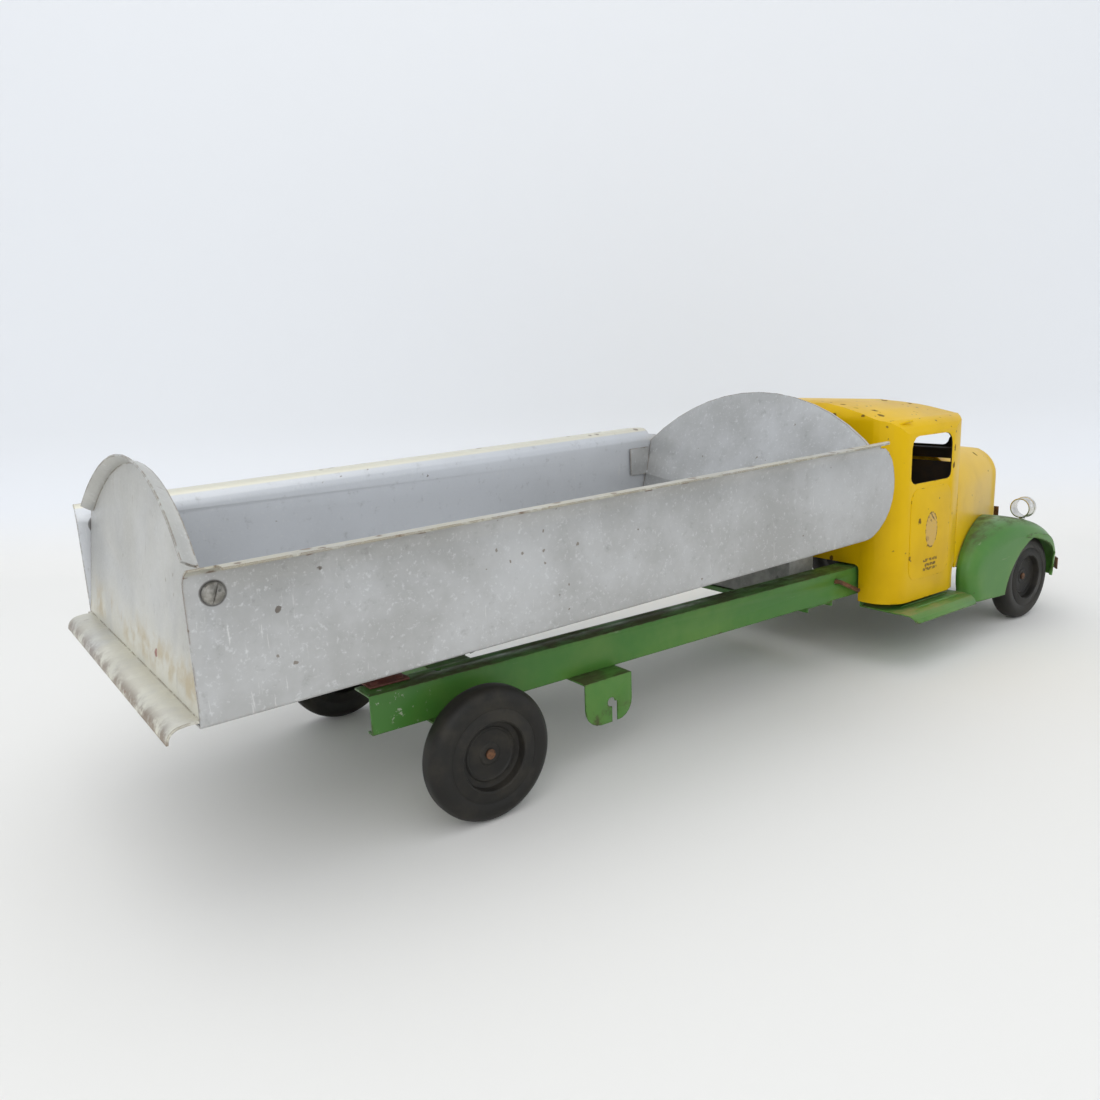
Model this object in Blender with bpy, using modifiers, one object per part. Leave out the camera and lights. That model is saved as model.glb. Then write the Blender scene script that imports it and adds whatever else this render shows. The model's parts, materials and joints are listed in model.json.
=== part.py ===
"""Pressed-steel push-along tipper truck: green chassis, yellow cab, tilting silver bed with a hung tailgate.

X points forward, the truck's right side is -Y, Z is up, and the wheels stand on Z = 0.
"""

from math import asin, cos, pi, radians, sin, sqrt

import bmesh
import bpy
from mathutils import Matrix, Vector

mm = 0.001

# Fits
gap = 0.3 * mm  # between pieces that touch
runningGap = 0.35 * mm  # around a pin or an axle
sideGap = 0.8 * mm  # between the tailgate and the bed sides
wheelClearance = 1.9 * mm  # between a wheel and its hanger

# Sheet metal
frameSheet = 1.2 * mm
bodySheet = 1.0 * mm
bedSheet = 1.0 * mm

# Wheels and axles
wheelRadius = 35 * mm
wheelWidth = 15.5 * mm
wheelFaces = 197.2 * mm  # across the wheels' outer faces
wheelBase = 526 * mm
axleRadius = 1.9 * mm
axleHeadRadius = 2.6 * mm
axleHeadLength = 1 * mm
tyreInner = 17.7 * mm
discRecess = 5.2 * mm
discRidge = 13.3 * mm

# Frame
railTop = 70.4 * mm
railDepth = 20.4 * mm
railFaces = 134.4 * mm  # across the webs' outer faces
railFlange = 17 * mm
railFoot = 5 * mm
railTail = 50 * mm  # behind the rear axle
hangerSpacing = 90 * mm  # from the rear axle to the empty pair of hangers
hangerLength = 34 * mm
hangerDrop = 12 * mm  # below the axle's centre
slotWidth = 4 * mm
slotAhead = 2.4 * mm  # of the axle's centre
keyholeRadius = 2.7 * mm

# Bed
bedLength = wheelBase - 99.5 * mm  # of the floor
bedWidth = 217.2 * mm  # over the sides
bedHeight = 64 * mm
bedTilt = radians(1.44)
bedFloorHeight = 91.5 * mm  # under the floor's rear edge
bedRearReach = 138.5 * mm  # of the floor's rear edge behind the rear axle
flareRadius = 9 * mm
flangeWidth = 15.2 * mm
earLength = 12 * mm
sideNose = bedLength + 28 * mm  # foremost point of the sides
floorBend = 2 * mm
bulkheadLean = radians(15.5)
archShoulder = bedHeight - 10.2 * mm
archRise = 39 * mm
tabLength = 19 * mm
bulkheadRim = 2.6 * mm
bulkheadRelief = 6 * mm  # cut from its lower corners, for the pan's bends

# Tailgate
gateLean = radians(8.8)
gatePivotIn = 11.6 * mm  # ahead of the floor's rear edge
gatePivotHeight = bedHeight - 11.3 * mm
gateShoulder = bedHeight - 2 * mm
gateRise = 33 * mm
gateFlange = 6.2 * mm
lipReach = 13.2 * mm
lipHeight = 4.1 * mm
lipShort = 7 * mm  # by which its left end is shorter
screwRadius = 1.65 * mm
nutRadius = 2.7 * mm  # to the corners
screwHeadRadius = 4.6 * mm
screwHeadHeight = 1.9 * mm

# Bed hinge
hingeAhead = 103.5 * mm  # of the floor's rear edge
hingeBelow = 9 * mm  # the floor's underside
hingeRodRadius = 2 * mm
standSpacing = 90 * mm  # between the frame's hinge stands
lugSheet = 2 * mm

# Bed rest
restBack = wheelBase - 243 * mm  # ahead of the rear axle
restLength = 26 * mm
padSheet = 1 * mm
tieRodRadius = 1.7 * mm
tieRodBelow = 7 * mm  # the rails' top

# Cab and hood
cabBack = wheelBase - 192 * mm  # ahead of the rear axle
cabSideLength = 87 * mm
cabHalfWidth = 97 * mm
cowlHalfWidth = 93 * mm
pillarHalfWidth = 83 * mm
cabBottom = 45.6 * mm
cabTop = 189 * mm
roofEdge = 176 * mm
cabCorner = 20 * mm
cowlTop = 148.5 * mm
windowBack = cabBack + 19 * mm
windowFront = cabBack + 69.5 * mm
windowSill = 130.8 * mm
windowTop = 164.2 * mm
hoodNose = wheelBase + 40 * mm
hoodNoseHalfWidth = 55 * mm
hoodNoseTop = 138 * mm
hoodCrown = 2 * mm
hoodNoseRadius = 24 * mm

# Fenders and running boards
fenderFace = 106 * mm  # half the width over the fenders
fenderRound = 13 * mm
boardHeight = 40 * mm
boardBack = cabBack + 5 * mm
boardFront = cabBack + 90 * mm
boardHalfWidth = 110 * mm

# Bumper and headlights
bumperAhead = wheelBase + 60 * mm
bumperHalfLength = 98 * mm
bumperHeight = 10 * mm
bumperMiddle = 38 * mm
headlightRadius = 8.6 * mm
headlightLength = 10 * mm
headlightAhead = wheelBase + 5 * mm
headlightOut = 88 * mm

rearAxleX = (bedRearReach + lipReach + gap - bumperAhead - bodySheet) / 2
frontAxleX = rearAxleX + wheelBase
webOut = railFaces / 2
railBottom = railTop - railDepth
flangeIn = webOut - railFlange
hangerFace = wheelFaces / 2 - wheelWidth - frameSheet - wheelClearance
boreRadius = axleRadius + runningGap
bedHalf = bedWidth / 2
bedRearX = rearAxleX - bedRearReach
tieRodX = rearAxleX + restBack + restLength + 3 * mm
tieRodZ = railTop - tieRodBelow


for old in list(bpy.data.objects):
    bpy.data.objects.remove(old, do_unlink=True)

truck = bpy.data.collections.new("push_along_truck")
cutters = bpy.data.collections.new("cutters")
bpy.context.scene.collection.children.link(truck)
bpy.context.scene.collection.children.link(cutters)
cutters.hide_render = True


# ---------------------------------------------------------------- materials


def makeMaterial(name, colour, roughness, metallic=0.0):
    material = bpy.data.materials.new(name)
    material.use_nodes = True
    shader = material.node_tree.nodes["Principled BSDF"]
    shader.inputs["Base Color"].default_value = (*colour, 1)
    shader.inputs["Roughness"].default_value = roughness
    shader.inputs["Metallic"].default_value = metallic
    material.diffuse_color = (*colour, 1)
    return material


greenPaint = makeMaterial("green_paint", (0.07, 0.22, 0.07), 0.4)
yellowPaint = makeMaterial("yellow_paint", (0.66, 0.44, 0.02), 0.35)
silverPaint = makeMaterial("silver_paint", (0.42, 0.43, 0.43), 0.45, 0.4)
blackRubber = makeMaterial("black_rubber", (0.03, 0.03, 0.028), 0.6)
rustySteel = makeMaterial("rusty_steel", (0.17, 0.08, 0.04), 0.75, 0.3)
chromeTrim = makeMaterial("chrome", (0.75, 0.75, 0.76), 0.15, 1.0)
greySteel = makeMaterial("grey_steel", (0.2, 0.2, 0.2), 0.5, 0.5)
redPrimer = makeMaterial("red_primer", (0.16, 0.03, 0.02), 0.6)


# ---------------------------------------------------------------- shapes


def arc(centre, radius, start, end, steps):
    """Points of an arc in degrees, ends included."""
    return [
        (
            centre[0] + radius * cos(radians(start + (end - start) * i / steps)),
            centre[1] + radius * sin(radians(start + (end - start) * i / steps)),
        )
        for i in range(steps + 1)
    ]


def bezier(start, handleA, handleB, end, steps):
    points = []
    for i in range(steps + 1):
        t = i / steps
        weights = ((1 - t) ** 3, 3 * t * (1 - t) ** 2, 3 * t * t * (1 - t), t**3)
        corners = (start, handleA, handleB, end)
        points.append(tuple(sum(w * c[k] for w, c in zip(weights, corners)) for k in (0, 1)))
    return points


def thicken(path, thickness):
    """Closed outline of a bent strip: the path, and the path moved to its left by the thickness."""
    moved = []
    for i, (x, y) in enumerate(path):
        before = path[max(i - 1, 0)]
        after = path[min(i + 1, len(path) - 1)]
        inward = Vector((x - before[0], y - before[1]))
        outward = Vector((after[0] - x, after[1] - y))
        inward = inward.normalized() if inward.length > 0 else outward.normalized()
        outward = outward.normalized() if outward.length > 0 else inward
        bisector = (inward + outward).normalized()
        stretch = thickness / max(bisector.dot(inward), 0.3)
        moved.append((x - bisector.y * stretch, y + bisector.x * stretch))
    return list(path) + moved[::-1]


def outlineMesh(name, outlines, depth):
    """A flat outline, with any inner outlines as holes, extruded to the depth about the local XY plane."""
    curve = bpy.data.curves.new(name, "CURVE")
    curve.dimensions = "2D"
    curve.fill_mode = "BOTH"
    curve.extrude = depth / 2
    for outline in outlines:
        spline = curve.splines.new("POLY")
        spline.points.add(len(outline) - 1)
        for point, (x, y) in zip(spline.points, outline):
            point.co = (x, y, 0, 1)
        spline.use_cyclic_u = True
    source = bpy.data.objects.new(name, curve)
    bpy.context.scene.collection.objects.link(source)
    bpy.context.view_layer.update()
    graph = bpy.context.evaluated_depsgraph_get()
    mesh = bpy.data.meshes.new_from_object(source.evaluated_get(graph))
    bpy.data.objects.remove(source, do_unlink=True)
    bpy.data.curves.remove(curve)
    shape = bmesh.new()
    shape.from_mesh(mesh)
    bmesh.ops.remove_doubles(shape, verts=shape.verts, dist=0.00001)
    bmesh.ops.recalc_face_normals(shape, faces=shape.faces)
    shape.to_mesh(mesh)
    shape.free()
    mesh.name = name
    return mesh


# Each matrix takes the outline's (x, y, depth) to the axes named: outlines across X are (y, z) and so on.
acrossAxis = {
    "X": Matrix(((0, 0, 1, 0), (1, 0, 0, 0), (0, 1, 0, 0), (0, 0, 0, 1))),
    "Y": Matrix(((1, 0, 0, 0), (0, 0, -1, 0), (0, 1, 0, 0), (0, 0, 0, 1))),
    "Z": Matrix.Identity(4),
}
alongAxis = {"X": Vector((1, 0, 0)), "Y": Vector((0, 1, 0)), "Z": Vector((0, 0, 1))}


def prism(name, outlines, axis, low, high):
    """Mesh of an outline extruded along an axis from low to high."""
    if not isinstance(outlines[0], list):
        outlines = [outlines]
    mesh = outlineMesh(name, outlines, high - low)
    mesh.transform(Matrix.Translation(alongAxis[axis] * (low + high) / 2) @ acrossAxis[axis])
    return mesh


def box(name, low, high):
    shape = bmesh.new()
    bmesh.ops.create_cube(shape, size=1)
    size = [b - a for a, b in zip(low, high)]
    middle = [(a + b) / 2 for a, b in zip(low, high)]
    bmesh.ops.scale(shape, vec=size, verts=shape.verts)
    bmesh.ops.translate(shape, vec=middle, verts=shape.verts)
    mesh = bpy.data.meshes.new(name)
    shape.to_mesh(mesh)
    shape.free()
    return mesh


def cylinder(name, radius, axis, low, high, centre=(0, 0, 0), sides=24):
    """Cylinder along an axis; centre gives its place in the other two."""
    shape = bmesh.new()
    bmesh.ops.create_cone(
        shape, cap_ends=True, segments=sides, radius1=radius, radius2=radius, depth=high - low
    )
    middle = Vector(centre)
    middle["XYZ".index(axis)] = (low + high) / 2
    shape.transform(Matrix.Translation(middle) @ acrossAxis[axis])
    mesh = bpy.data.meshes.new(name)
    shape.to_mesh(mesh)
    shape.free()
    return mesh


def addPart(name, mesh, material, origin=(0, 0, 0), parent=None):
    """Puts a mesh given in its parent's space into the model, with its origin at the given point."""
    part = bpy.data.objects.new(name, mesh)
    mesh.name = name
    mesh.transform(Matrix.Translation(-Vector(origin)))
    part.location = origin
    part.parent = parent
    mesh.materials.append(material)
    truck.objects.link(part)
    return part


def addCutter(name, mesh, parent=None):
    cutter = bpy.data.objects.new(name, mesh)
    cutter.hide_render = True
    cutter.display_type = "WIRE"
    cutter.parent = parent
    cutters.objects.link(cutter)
    return cutter


def combine(part, mesh, operation, parent=None):
    """Boolean of a part with a mesh given in the same space as the part's parent."""
    other = addCutter(part.name + "_" + operation.lower(), mesh, parent)
    modifier = part.modifiers.new(operation.title(), "BOOLEAN")
    modifier.operation = operation
    modifier.solver = "EXACT"
    modifier.object = other
    return modifier


def smooth(part, angle=30):
    part.data.shade_smooth()
    part.data.set_sharp_from_angle(angle=radians(angle))


def mirrored(mesh, name):
    """The same mesh on the truck's other side."""
    other = mesh.copy()
    other.name = name
    other.transform(Matrix.Diagonal((1, -1, 1, 1)))
    other.flip_normals()
    return other


def gridShell(name, rows):
    """Open sheet through rows of points."""
    shape = bmesh.new()
    lines = [[shape.verts.new(point) for point in row] for row in rows]
    for near, far in zip(lines, lines[1:]):
        for i in range(len(near) - 1):
            shape.faces.new((near[i], near[i + 1], far[i + 1], far[i]))
    mesh = bpy.data.meshes.new(name)
    shape.to_mesh(mesh)
    shape.free()
    return mesh


def addShell(name, mesh, thickness, material):
    """Gives an open sheet its thickness, on its inner side."""
    part = addPart(name, mesh, material)
    modifier = part.modifiers.new("Solidify", "SOLIDIFY")
    modifier.thickness = thickness
    modifier.offset = -1
    smooth(part, 50)
    return part


# ---------------------------------------------------------------- frame


def makeRail(side):
    """Channel with its top flange and a narrow foot turned inwards, from behind the rear axle to the bumper."""
    path = [
        (webOut - railFoot, railBottom),
        (webOut, railBottom),
        (webOut, railTop),
        (flangeIn, railTop),
    ]
    outline = thicken(path, frameSheet)
    name = "frame_rail_right" if side < 0 else "frame_rail_left"
    front = rearAxleX + bumperAhead - bodySheet - gap
    mesh = prism(name, [(side * y, z) for y, z in outline], "X", rearAxleX - railTail, front)
    rail = addPart(name, mesh, greenPaint)
    flangeHole = cylinder(
        "hole", 1.6 * mm, "Z", railTop - 3 * mm, railTop + 3 * mm,
        (rearAxleX - 5.4 * mm, side * (flangeIn + 5 * mm), 0), 12,
    )
    combine(rail, flangeHole, "DIFFERENCE")
    rodHole = cylinder(
        "rod_hole", tieRodRadius + runningGap, "Y", -webOut - 5 * mm, webOut + 5 * mm,
        (tieRodX, 0, tieRodZ), 12,
    )
    combine(rail, rodHole, "DIFFERENCE")


for side in (-1, 1):
    makeRail(side)


def makeCrossMember(name, back, front, drop):
    """Inverted channel between the webs, under the rails' top flanges."""
    top = railTop - frameSheet - gap
    path = [(back, top - drop), (back, top), (front, top), (front, top - drop)]
    outline = thicken(path[::-1], frameSheet)
    reach = webOut - frameSheet - gap
    return addPart(name, prism(name, outline, "Y", -reach, reach), greenPaint)


def bedPoint(along, above):
    """World X and Z of a point of the bed, from its distance ahead of the floor's rear edge and above it."""
    return (
        bedRearX + along * cos(bedTilt) - above * sin(bedTilt),
        bedFloorHeight + along * sin(bedTilt) + above * cos(bedTilt),
    )


crossDrop = railDepth - frameSheet * 2 - gap * 3
hingeX, hingeZ = bedPoint(hingeAhead, -hingeBelow)
makeCrossMember("cross_member_rear", rearAxleX - 6 * mm, rearAxleX + 20 * mm, crossDrop)
makeCrossMember("cross_member_front", frontAxleX - 56 * mm, frontAxleX - 30 * mm, crossDrop)

# Strap under the rails that carries the bed rest
strapTop = railBottom - gap
strap = prism(
    "rest_strap",
    thicken(
        [
            (rearAxleX + restBack - 1 * mm, strapTop - 4 * mm),
            (rearAxleX + restBack - 1 * mm, strapTop),
            (rearAxleX + restBack + restLength + 1 * mm, strapTop),
            (rearAxleX + restBack + restLength + 1 * mm, strapTop - 4 * mm),
        ][::-1],
        frameSheet,
    ),
    "Y",
    -webOut + 1 * mm,
    webOut - 1 * mm,
)
addPart("rest_strap", strap, greenPaint)


def makeBedRest():
    """Box between the rails, open below, that the bed's pad comes down on."""
    back = rearAxleX + restBack
    front = back + restLength
    reach = flangeIn - 1.0 * mm
    padDrop = padSheet + 2 * gap
    topBack = bedFloorHeight + (back - bedRearX) * sin(bedTilt) / cos(bedTilt) - padDrop
    topFront = topBack + restLength * sin(bedTilt) / cos(bedTilt)
    bottom = strapTop + gap
    outline = [(back, bottom), (front, bottom), (front, topFront), (back, topBack)]
    rest = addPart("bed_rest", prism("bed_rest", outline, "Y", -reach, reach), greySteel)
    inner = [
        (back + frameSheet, bottom - 5 * mm),
        (front - frameSheet, bottom - 5 * mm),
        (front - frameSheet, topFront - frameSheet * 1.1),
        (back + frameSheet, topBack - frameSheet),
    ]
    hollow = prism("hollow", inner, "Y", -reach + frameSheet, reach - frameSheet)
    combine(rest, hollow, "DIFFERENCE")


makeBedRest()


def hangerOutline(axleX):
    """Side view of a hanger's tab, with a slot from below that ends in a keyhole for the axle."""
    axleZ = wheelRadius
    back = axleX - hangerLength * 0.55
    front = axleX + hangerLength * 0.45
    top = railBottom - gap
    low = axleZ - hangerDrop
    slotX = axleX + slotAhead
    corner = 11 * mm
    outline = [(back, top)]
    outline += arc((back + corner, low + corner), corner, 180, 270, 5)
    outline += [(slotX - slotWidth / 2, low)]
    reach = asin(min(0.95, (slotX - slotWidth / 2 - axleX) / keyholeRadius))
    outline += arc((axleX, axleZ), keyholeRadius, -90 + reach * 180 / pi, -360, 14)
    outline += [(slotX + slotWidth / 2, axleZ)]
    outline += [(slotX + slotWidth / 2, low)]
    outline += arc((front - corner, low + corner), corner, 270, 360, 5)[1:]
    outline += [(front, top)]
    return outline


def makeHanger(name, axleX, side):
    """Bracket with a ledge under the rail and a tab that hangs outboard of it."""
    tab = prism(
        name,
        hangerOutline(axleX),
        "Y",
        *sorted((side * hangerFace, side * (hangerFace + frameSheet))),
    )
    hanger = addPart(name, tab, greenPaint)
    back = axleX - hangerLength * 0.55
    front = axleX + hangerLength * 0.45
    ledgeIn = webOut - railFoot - 6 * mm
    ledge = box(
        "ledge",
        (back, min(side * ledgeIn, side * (hangerFace + frameSheet)), railBottom - gap - frameSheet),
        (front, max(side * ledgeIn, side * (hangerFace + frameSheet)), railBottom - gap),
    )
    combine(hanger, ledge, "UNION")


for side, word in ((-1, "right"), (1, "left")):
    makeHanger("axle_hanger_rear_" + word, rearAxleX, side)
    makeHanger("axle_hanger_middle_" + word, rearAxleX + hangerSpacing, side)
    makeHanger("axle_hanger_front_" + word, frontAxleX, side)

# ---------------------------------------------------------------- wheels and axles


def wheelProfile():
    """Half section from the outer face's hub edge round the tyre to the inner face, as (radius, out) pairs."""
    face = wheelWidth / 2
    disc = face - discRecess
    bead = 0.9 * mm
    shoulder = wheelWidth * 0.36
    outer = [
        (boreRadius, disc),
        (discRidge - 0.6 * mm, disc),
        (discRidge, disc + 0.6 * mm),
        (tyreInner - 0.8 * mm, disc + 0.6 * mm),
        (tyreInner, face - 0.5 * mm),
        (tyreInner + bead, face),
        (wheelRadius - shoulder * 1.6, face),
    ]
    outer += [
        (wheelRadius - shoulder * (1 - cos(radians(a))), face - shoulder * (1 - sin(radians(a))))
        for a in (60, 30)
    ]
    outer += [(wheelRadius, face - shoulder)]
    return outer + [(r, -out) for r, out in reversed(outer)]


def makeWheel(name, axleX, side):
    profile = bmesh.new()
    points = [(radius, 0, out) for radius, out in wheelProfile()]
    points.append(points[0])
    verts = [profile.verts.new(point) for point in points[:-1]]
    verts.append(verts[0])
    for first, second in zip(verts, verts[1:]):
        profile.edges.new((first, second))
    mesh = bpy.data.meshes.new(name)
    profile.to_mesh(mesh)
    profile.free()
    mesh.transform(Matrix.Rotation(radians(90), 4, "X"))
    wheel = bpy.data.objects.new(name, mesh)
    mesh.materials.append(blackRubber)
    wheel.location = (axleX, side * (wheelFaces - wheelWidth) / 2, wheelRadius)
    truck.objects.link(wheel)
    turn = wheel.modifiers.new("Screw", "SCREW")
    turn.axis = "Y"
    turn.steps = 36
    turn.render_steps = 36
    turn.use_merge_vertices = True
    turn.merge_threshold = 0.00001
    turn.use_normal_calculate = True
    return wheel


def makeAxle(name, axleX):
    """Rod with a flat head outside each wheel's disc."""
    head = wheelFaces / 2 - discRecess + gap
    centre = (axleX, 0, wheelRadius)
    rod = cylinder(name, axleRadius, "Y", -head - 0.2 * mm, head + 0.2 * mm, centre, 20)
    axle = addPart(name, rod, rustySteel, centre)
    for side in (-1, 1):
        ends = sorted((side * head, side * (head + axleHeadLength)))
        combine(axle, cylinder("head", axleHeadRadius, "Y", *ends, centre, 20), "UNION")
    smooth(axle)


for axleX, place in ((rearAxleX, "rear"), (frontAxleX, "front")):
    for side, word in ((-1, "right"), (1, "left")):
        makeWheel("wheel_" + place + "_" + word, axleX, side)
    makeAxle(place + "_axle", axleX)

# ---------------------------------------------------------------- tie rod


def makeTieRod():
    """Wire through both webs; its ends turn forward and down to the cab's rear corners."""
    cabCornerX = rearAxleX + cabBack - tieRodRadius - 1.2 * mm
    end = (cabCornerX, webOut + 5.5 * mm, tieRodZ - 9 * mm)
    bend = (tieRodX + 1 * mm, webOut + 2.6 * mm, tieRodZ)
    route = [(tieRodX, 0, tieRodZ), (tieRodX, webOut, tieRodZ), bend, end]
    route = [(x, -y, z) for x, y, z in reversed(route)] + route[1:]
    curve = bpy.data.curves.new("cab_tie_rod", "CURVE")
    curve.dimensions = "3D"
    curve.bevel_depth = tieRodRadius
    curve.bevel_resolution = 1
    curve.use_fill_caps = True
    spline = curve.splines.new("POLY")
    spline.points.add(len(route) - 1)
    for point, place in zip(spline.points, route):
        point.co = (*place, 1)
    rod = bpy.data.objects.new("cab_tie_rod", curve)
    curve.materials.append(rustySteel)
    truck.objects.link(rod)


makeTieRod()

# ---------------------------------------------------------------- cab


def cabPlan(inset, back, front, halfWidth, corner):
    """Plan outline of the cab, round behind and narrowing past the cowl to the pillars, as (x, y)."""
    reach = halfWidth - inset
    radius = corner - inset
    rear = back + inset
    cowl = cowlHalfWidth - inset
    pillar = pillarHalfWidth - inset
    half = arc((rear + radius, reach - radius), radius, 180, 90, 6)
    half += [(rearAxleX + windowFront + 3 * mm, reach), (cabFront, cowl)]
    half += [(pillarFront, pillar), (front, pillar)]
    return [(x, -y) for x, y in half] + half[::-1]


def roofSection(inset, low):
    """Cross section of the cab: upright sides, round shoulders and a crowned roof, as (y, z)."""
    reach = cabHalfWidth - inset
    top = cabTop - inset
    shoulder = 14 * mm - inset * 0.5
    crown = []
    steps = 10
    for i in range(steps + 1):
        y = (reach - shoulder) * (1 - 2 * i / steps)
        fall = (cabTop - roofEdge) * (abs(y) / (reach - shoulder)) ** 2.2
        crown.append((y, top - fall))
    edge = top - (cabTop - roofEdge)
    right = arc((reach - shoulder, edge - shoulder), shoulder, 0, 76, 4)
    left = [(-y, z) for y, z in reversed(right)]
    return [(reach, low)] + right + crown + left + [(-reach, low)]


cabFront = rearAxleX + cabBack + cabSideLength
pillarFront = cabFront + 9 * mm
visorFront = pillarFront + 1.5 * mm


def cabSide(inset, low):
    """Side view of the cab: upright rear with a round top, roof falling to the visor, windshield, as (x, z)."""
    back = rearAxleX + cabBack + inset
    top = cabTop - inset
    radius = 14 * mm - inset
    visor = [
        (visorFront - 30 * mm, top - 2.2 * mm),
        (visorFront - 14 * mm, top - 6.5 * mm),
        (visorFront - 4 * mm - inset, top - 12.5 * mm),
        (visorFront - inset, top - 20 * mm),
    ]
    return (
        [(back, low)]
        + arc((back + radius, top - radius), radius, 180, 90, 6)
        + visor
        + [(pillarFront - inset, cowlTop + 0.5 * mm + inset), (cabFront - inset, cowlTop + 0.5 * mm + inset)]
        + [(cabFront - inset, low)]
    )


def makeCab():
    back = rearAxleX + cabBack
    high = cabTop + 20 * mm
    cab = addPart(
        "cab_shell",
        prism(
            "cab_shell",
            cabPlan(0, back, pillarFront + 8 * mm, cabHalfWidth, cabCorner),
            "Z",
            cabBottom,
            high,
        ),
        yellowPaint,
    )
    front = visorFront + 20 * mm
    combine(cab, prism("roof", roofSection(0, cabBottom - 20 * mm), "X", back - 20 * mm, front), "INTERSECT")
    combine(cab, prism("side", cabSide(0, cabBottom - 10 * mm), "Y", -high, high), "INTERSECT")
    inner = addCutter(
        "cab_inner",
        prism(
            "cab_inner",
            cabPlan(bodySheet, back, pillarFront + 8 * mm, cabHalfWidth, cabCorner),
            "Z",
            cabBottom - 15 * mm,
            high,
        ),
    )
    innerRoof = prism("inner_roof", roofSection(bodySheet, cabBottom - 30 * mm), "X", back - 20 * mm, front)
    combine(inner, innerRoof, "INTERSECT")
    innerSide = prism("inner_side", cabSide(bodySheet, cabBottom - 25 * mm), "Y", -high, high)
    combine(inner, innerSide, "INTERSECT")
    hollow = cab.modifiers.new("Hollow", "BOOLEAN")
    hollow.operation = "DIFFERENCE"
    hollow.solver = "EXACT"
    hollow.object = inner

    windowBackX = rearAxleX + windowBack
    windowFrontX = rearAxleX + windowFront
    high = 8 * mm
    low = 5 * mm
    window = arc((windowBackX + low, windowSill + low), low, 180, 270, 3)
    window += arc((windowFrontX - low, windowSill + low), low, 270, 360, 3)
    window += arc((windowFrontX - high, windowTop - high), high, 0, 90, 3)
    window += arc((windowBackX + high, windowTop - high), high, 90, 180, 3)
    combine(cab, prism("windows", window, "Y", -0.2, 0.2), "DIFFERENCE")

    pillar = pillarHalfWidth - 3 * mm
    shieldTop = cabTop - 22 * mm
    shield = arc((-pillar + 6 * mm, cowlTop + 8 * mm), 5 * mm, 180, 270, 3)
    shield += arc((pillar - 6 * mm, cowlTop + 8 * mm), 5 * mm, 270, 360, 3)
    shield += arc((pillar - 9 * mm, shieldTop - 9 * mm), 9 * mm, 0, 90, 3)
    shield += arc((-pillar + 9 * mm, shieldTop - 9 * mm), 9 * mm, 90, 180, 3)
    combine(cab, prism("windshield", shield, "X", cabFront - 3 * mm, visorFront + 10 * mm), "DIFFERENCE")

    # Opening towards the hood, inside a narrow turned-in frame
    mouth = [
        (-cowlHalfWidth + 4 * mm, cabBottom - 10 * mm),
        (cowlHalfWidth - 4 * mm, cabBottom - 10 * mm),
        (cowlHalfWidth - 4 * mm, cowlTop - 6 * mm),
        (-cowlHalfWidth + 4 * mm, cowlTop - 6 * mm),
    ]
    combine(cab, prism("mouth", mouth, "X", cabFront - 4 * mm, cabFront + 5 * mm), "DIFFERENCE")

    # Notches for the rails
    notchOut = webOut + 3 * mm
    notchTop = railTop + 2 * mm
    notch = [(-notchOut, cabBottom - 5 * mm), (notchOut, cabBottom - 5 * mm)]
    notch += arc((notchOut - 4 * mm, notchTop - 4 * mm), 4 * mm, 0, 90, 3)
    notch += arc((-notchOut + 4 * mm, notchTop - 4 * mm), 4 * mm, 90, 180, 3)
    combine(cab, prism("notch", notch, "X", back - 5 * mm, back + cabCorner * 0.6), "DIFFERENCE")

    # The side's lower front corner rises round the fender
    rise = [
        (cabFront - 5 * mm, cabBottom - 5 * mm),
        (visorFront + 10 * mm, cabBottom - 5 * mm),
        (visorFront + 10 * mm, cabBottom + 18 * mm),
    ]
    rise += arc((cabFront + 1 * mm, cabBottom + 12 * mm), 6 * mm, 90, 180, 3)
    combine(cab, prism("fender_clearance", rise, "Y", -0.2, 0.2), "DIFFERENCE")
    smooth(cab, 35)


makeCab()


def hoodHalfWidth(share):
    """Half width of the hood, share 0 at the cab and 1 at the nose."""
    return cowlHalfWidth + (hoodNoseHalfWidth - cowlHalfWidth) * share**1.15


def hoodTopLine(share):
    return cowlTop + (hoodNoseTop - cowlTop) * share**1.3


def hoodSection(x, halfWidth, top, bottom, steps=5):
    """Row across the hood, from the left side's lower edge over the crown to the right side's."""
    edge = top - hoodCrown
    shoulder = min(halfWidth * 0.38, (edge - bottom) * 0.55)
    half = [(halfWidth, bottom), (halfWidth, (bottom + edge - shoulder) / 2)]
    for i in range(steps + 1):
        turn = radians(90 * i / steps)
        y = halfWidth - shoulder * (1 - cos(turn))
        crown = hoodCrown * (1 - (y / halfWidth) ** 2) * sin(turn)
        half.append((y, edge - shoulder * (1 - sin(turn)) + crown))
    left = [(x, y, z) for y, z in half]
    return left + [(x, 0, top)] + [(x, -y, z) for y, z in reversed(half)]


def hoodBottom(x):
    """Lower edge of the hood's sides, which rises round the back of the fender."""
    start = cabFront + 12 * mm
    share = min(max((x - start) / (20 * mm), 0), 1)
    low = cabBottom + 14 * mm
    return low + (railTop + gap - low) * share


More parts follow.
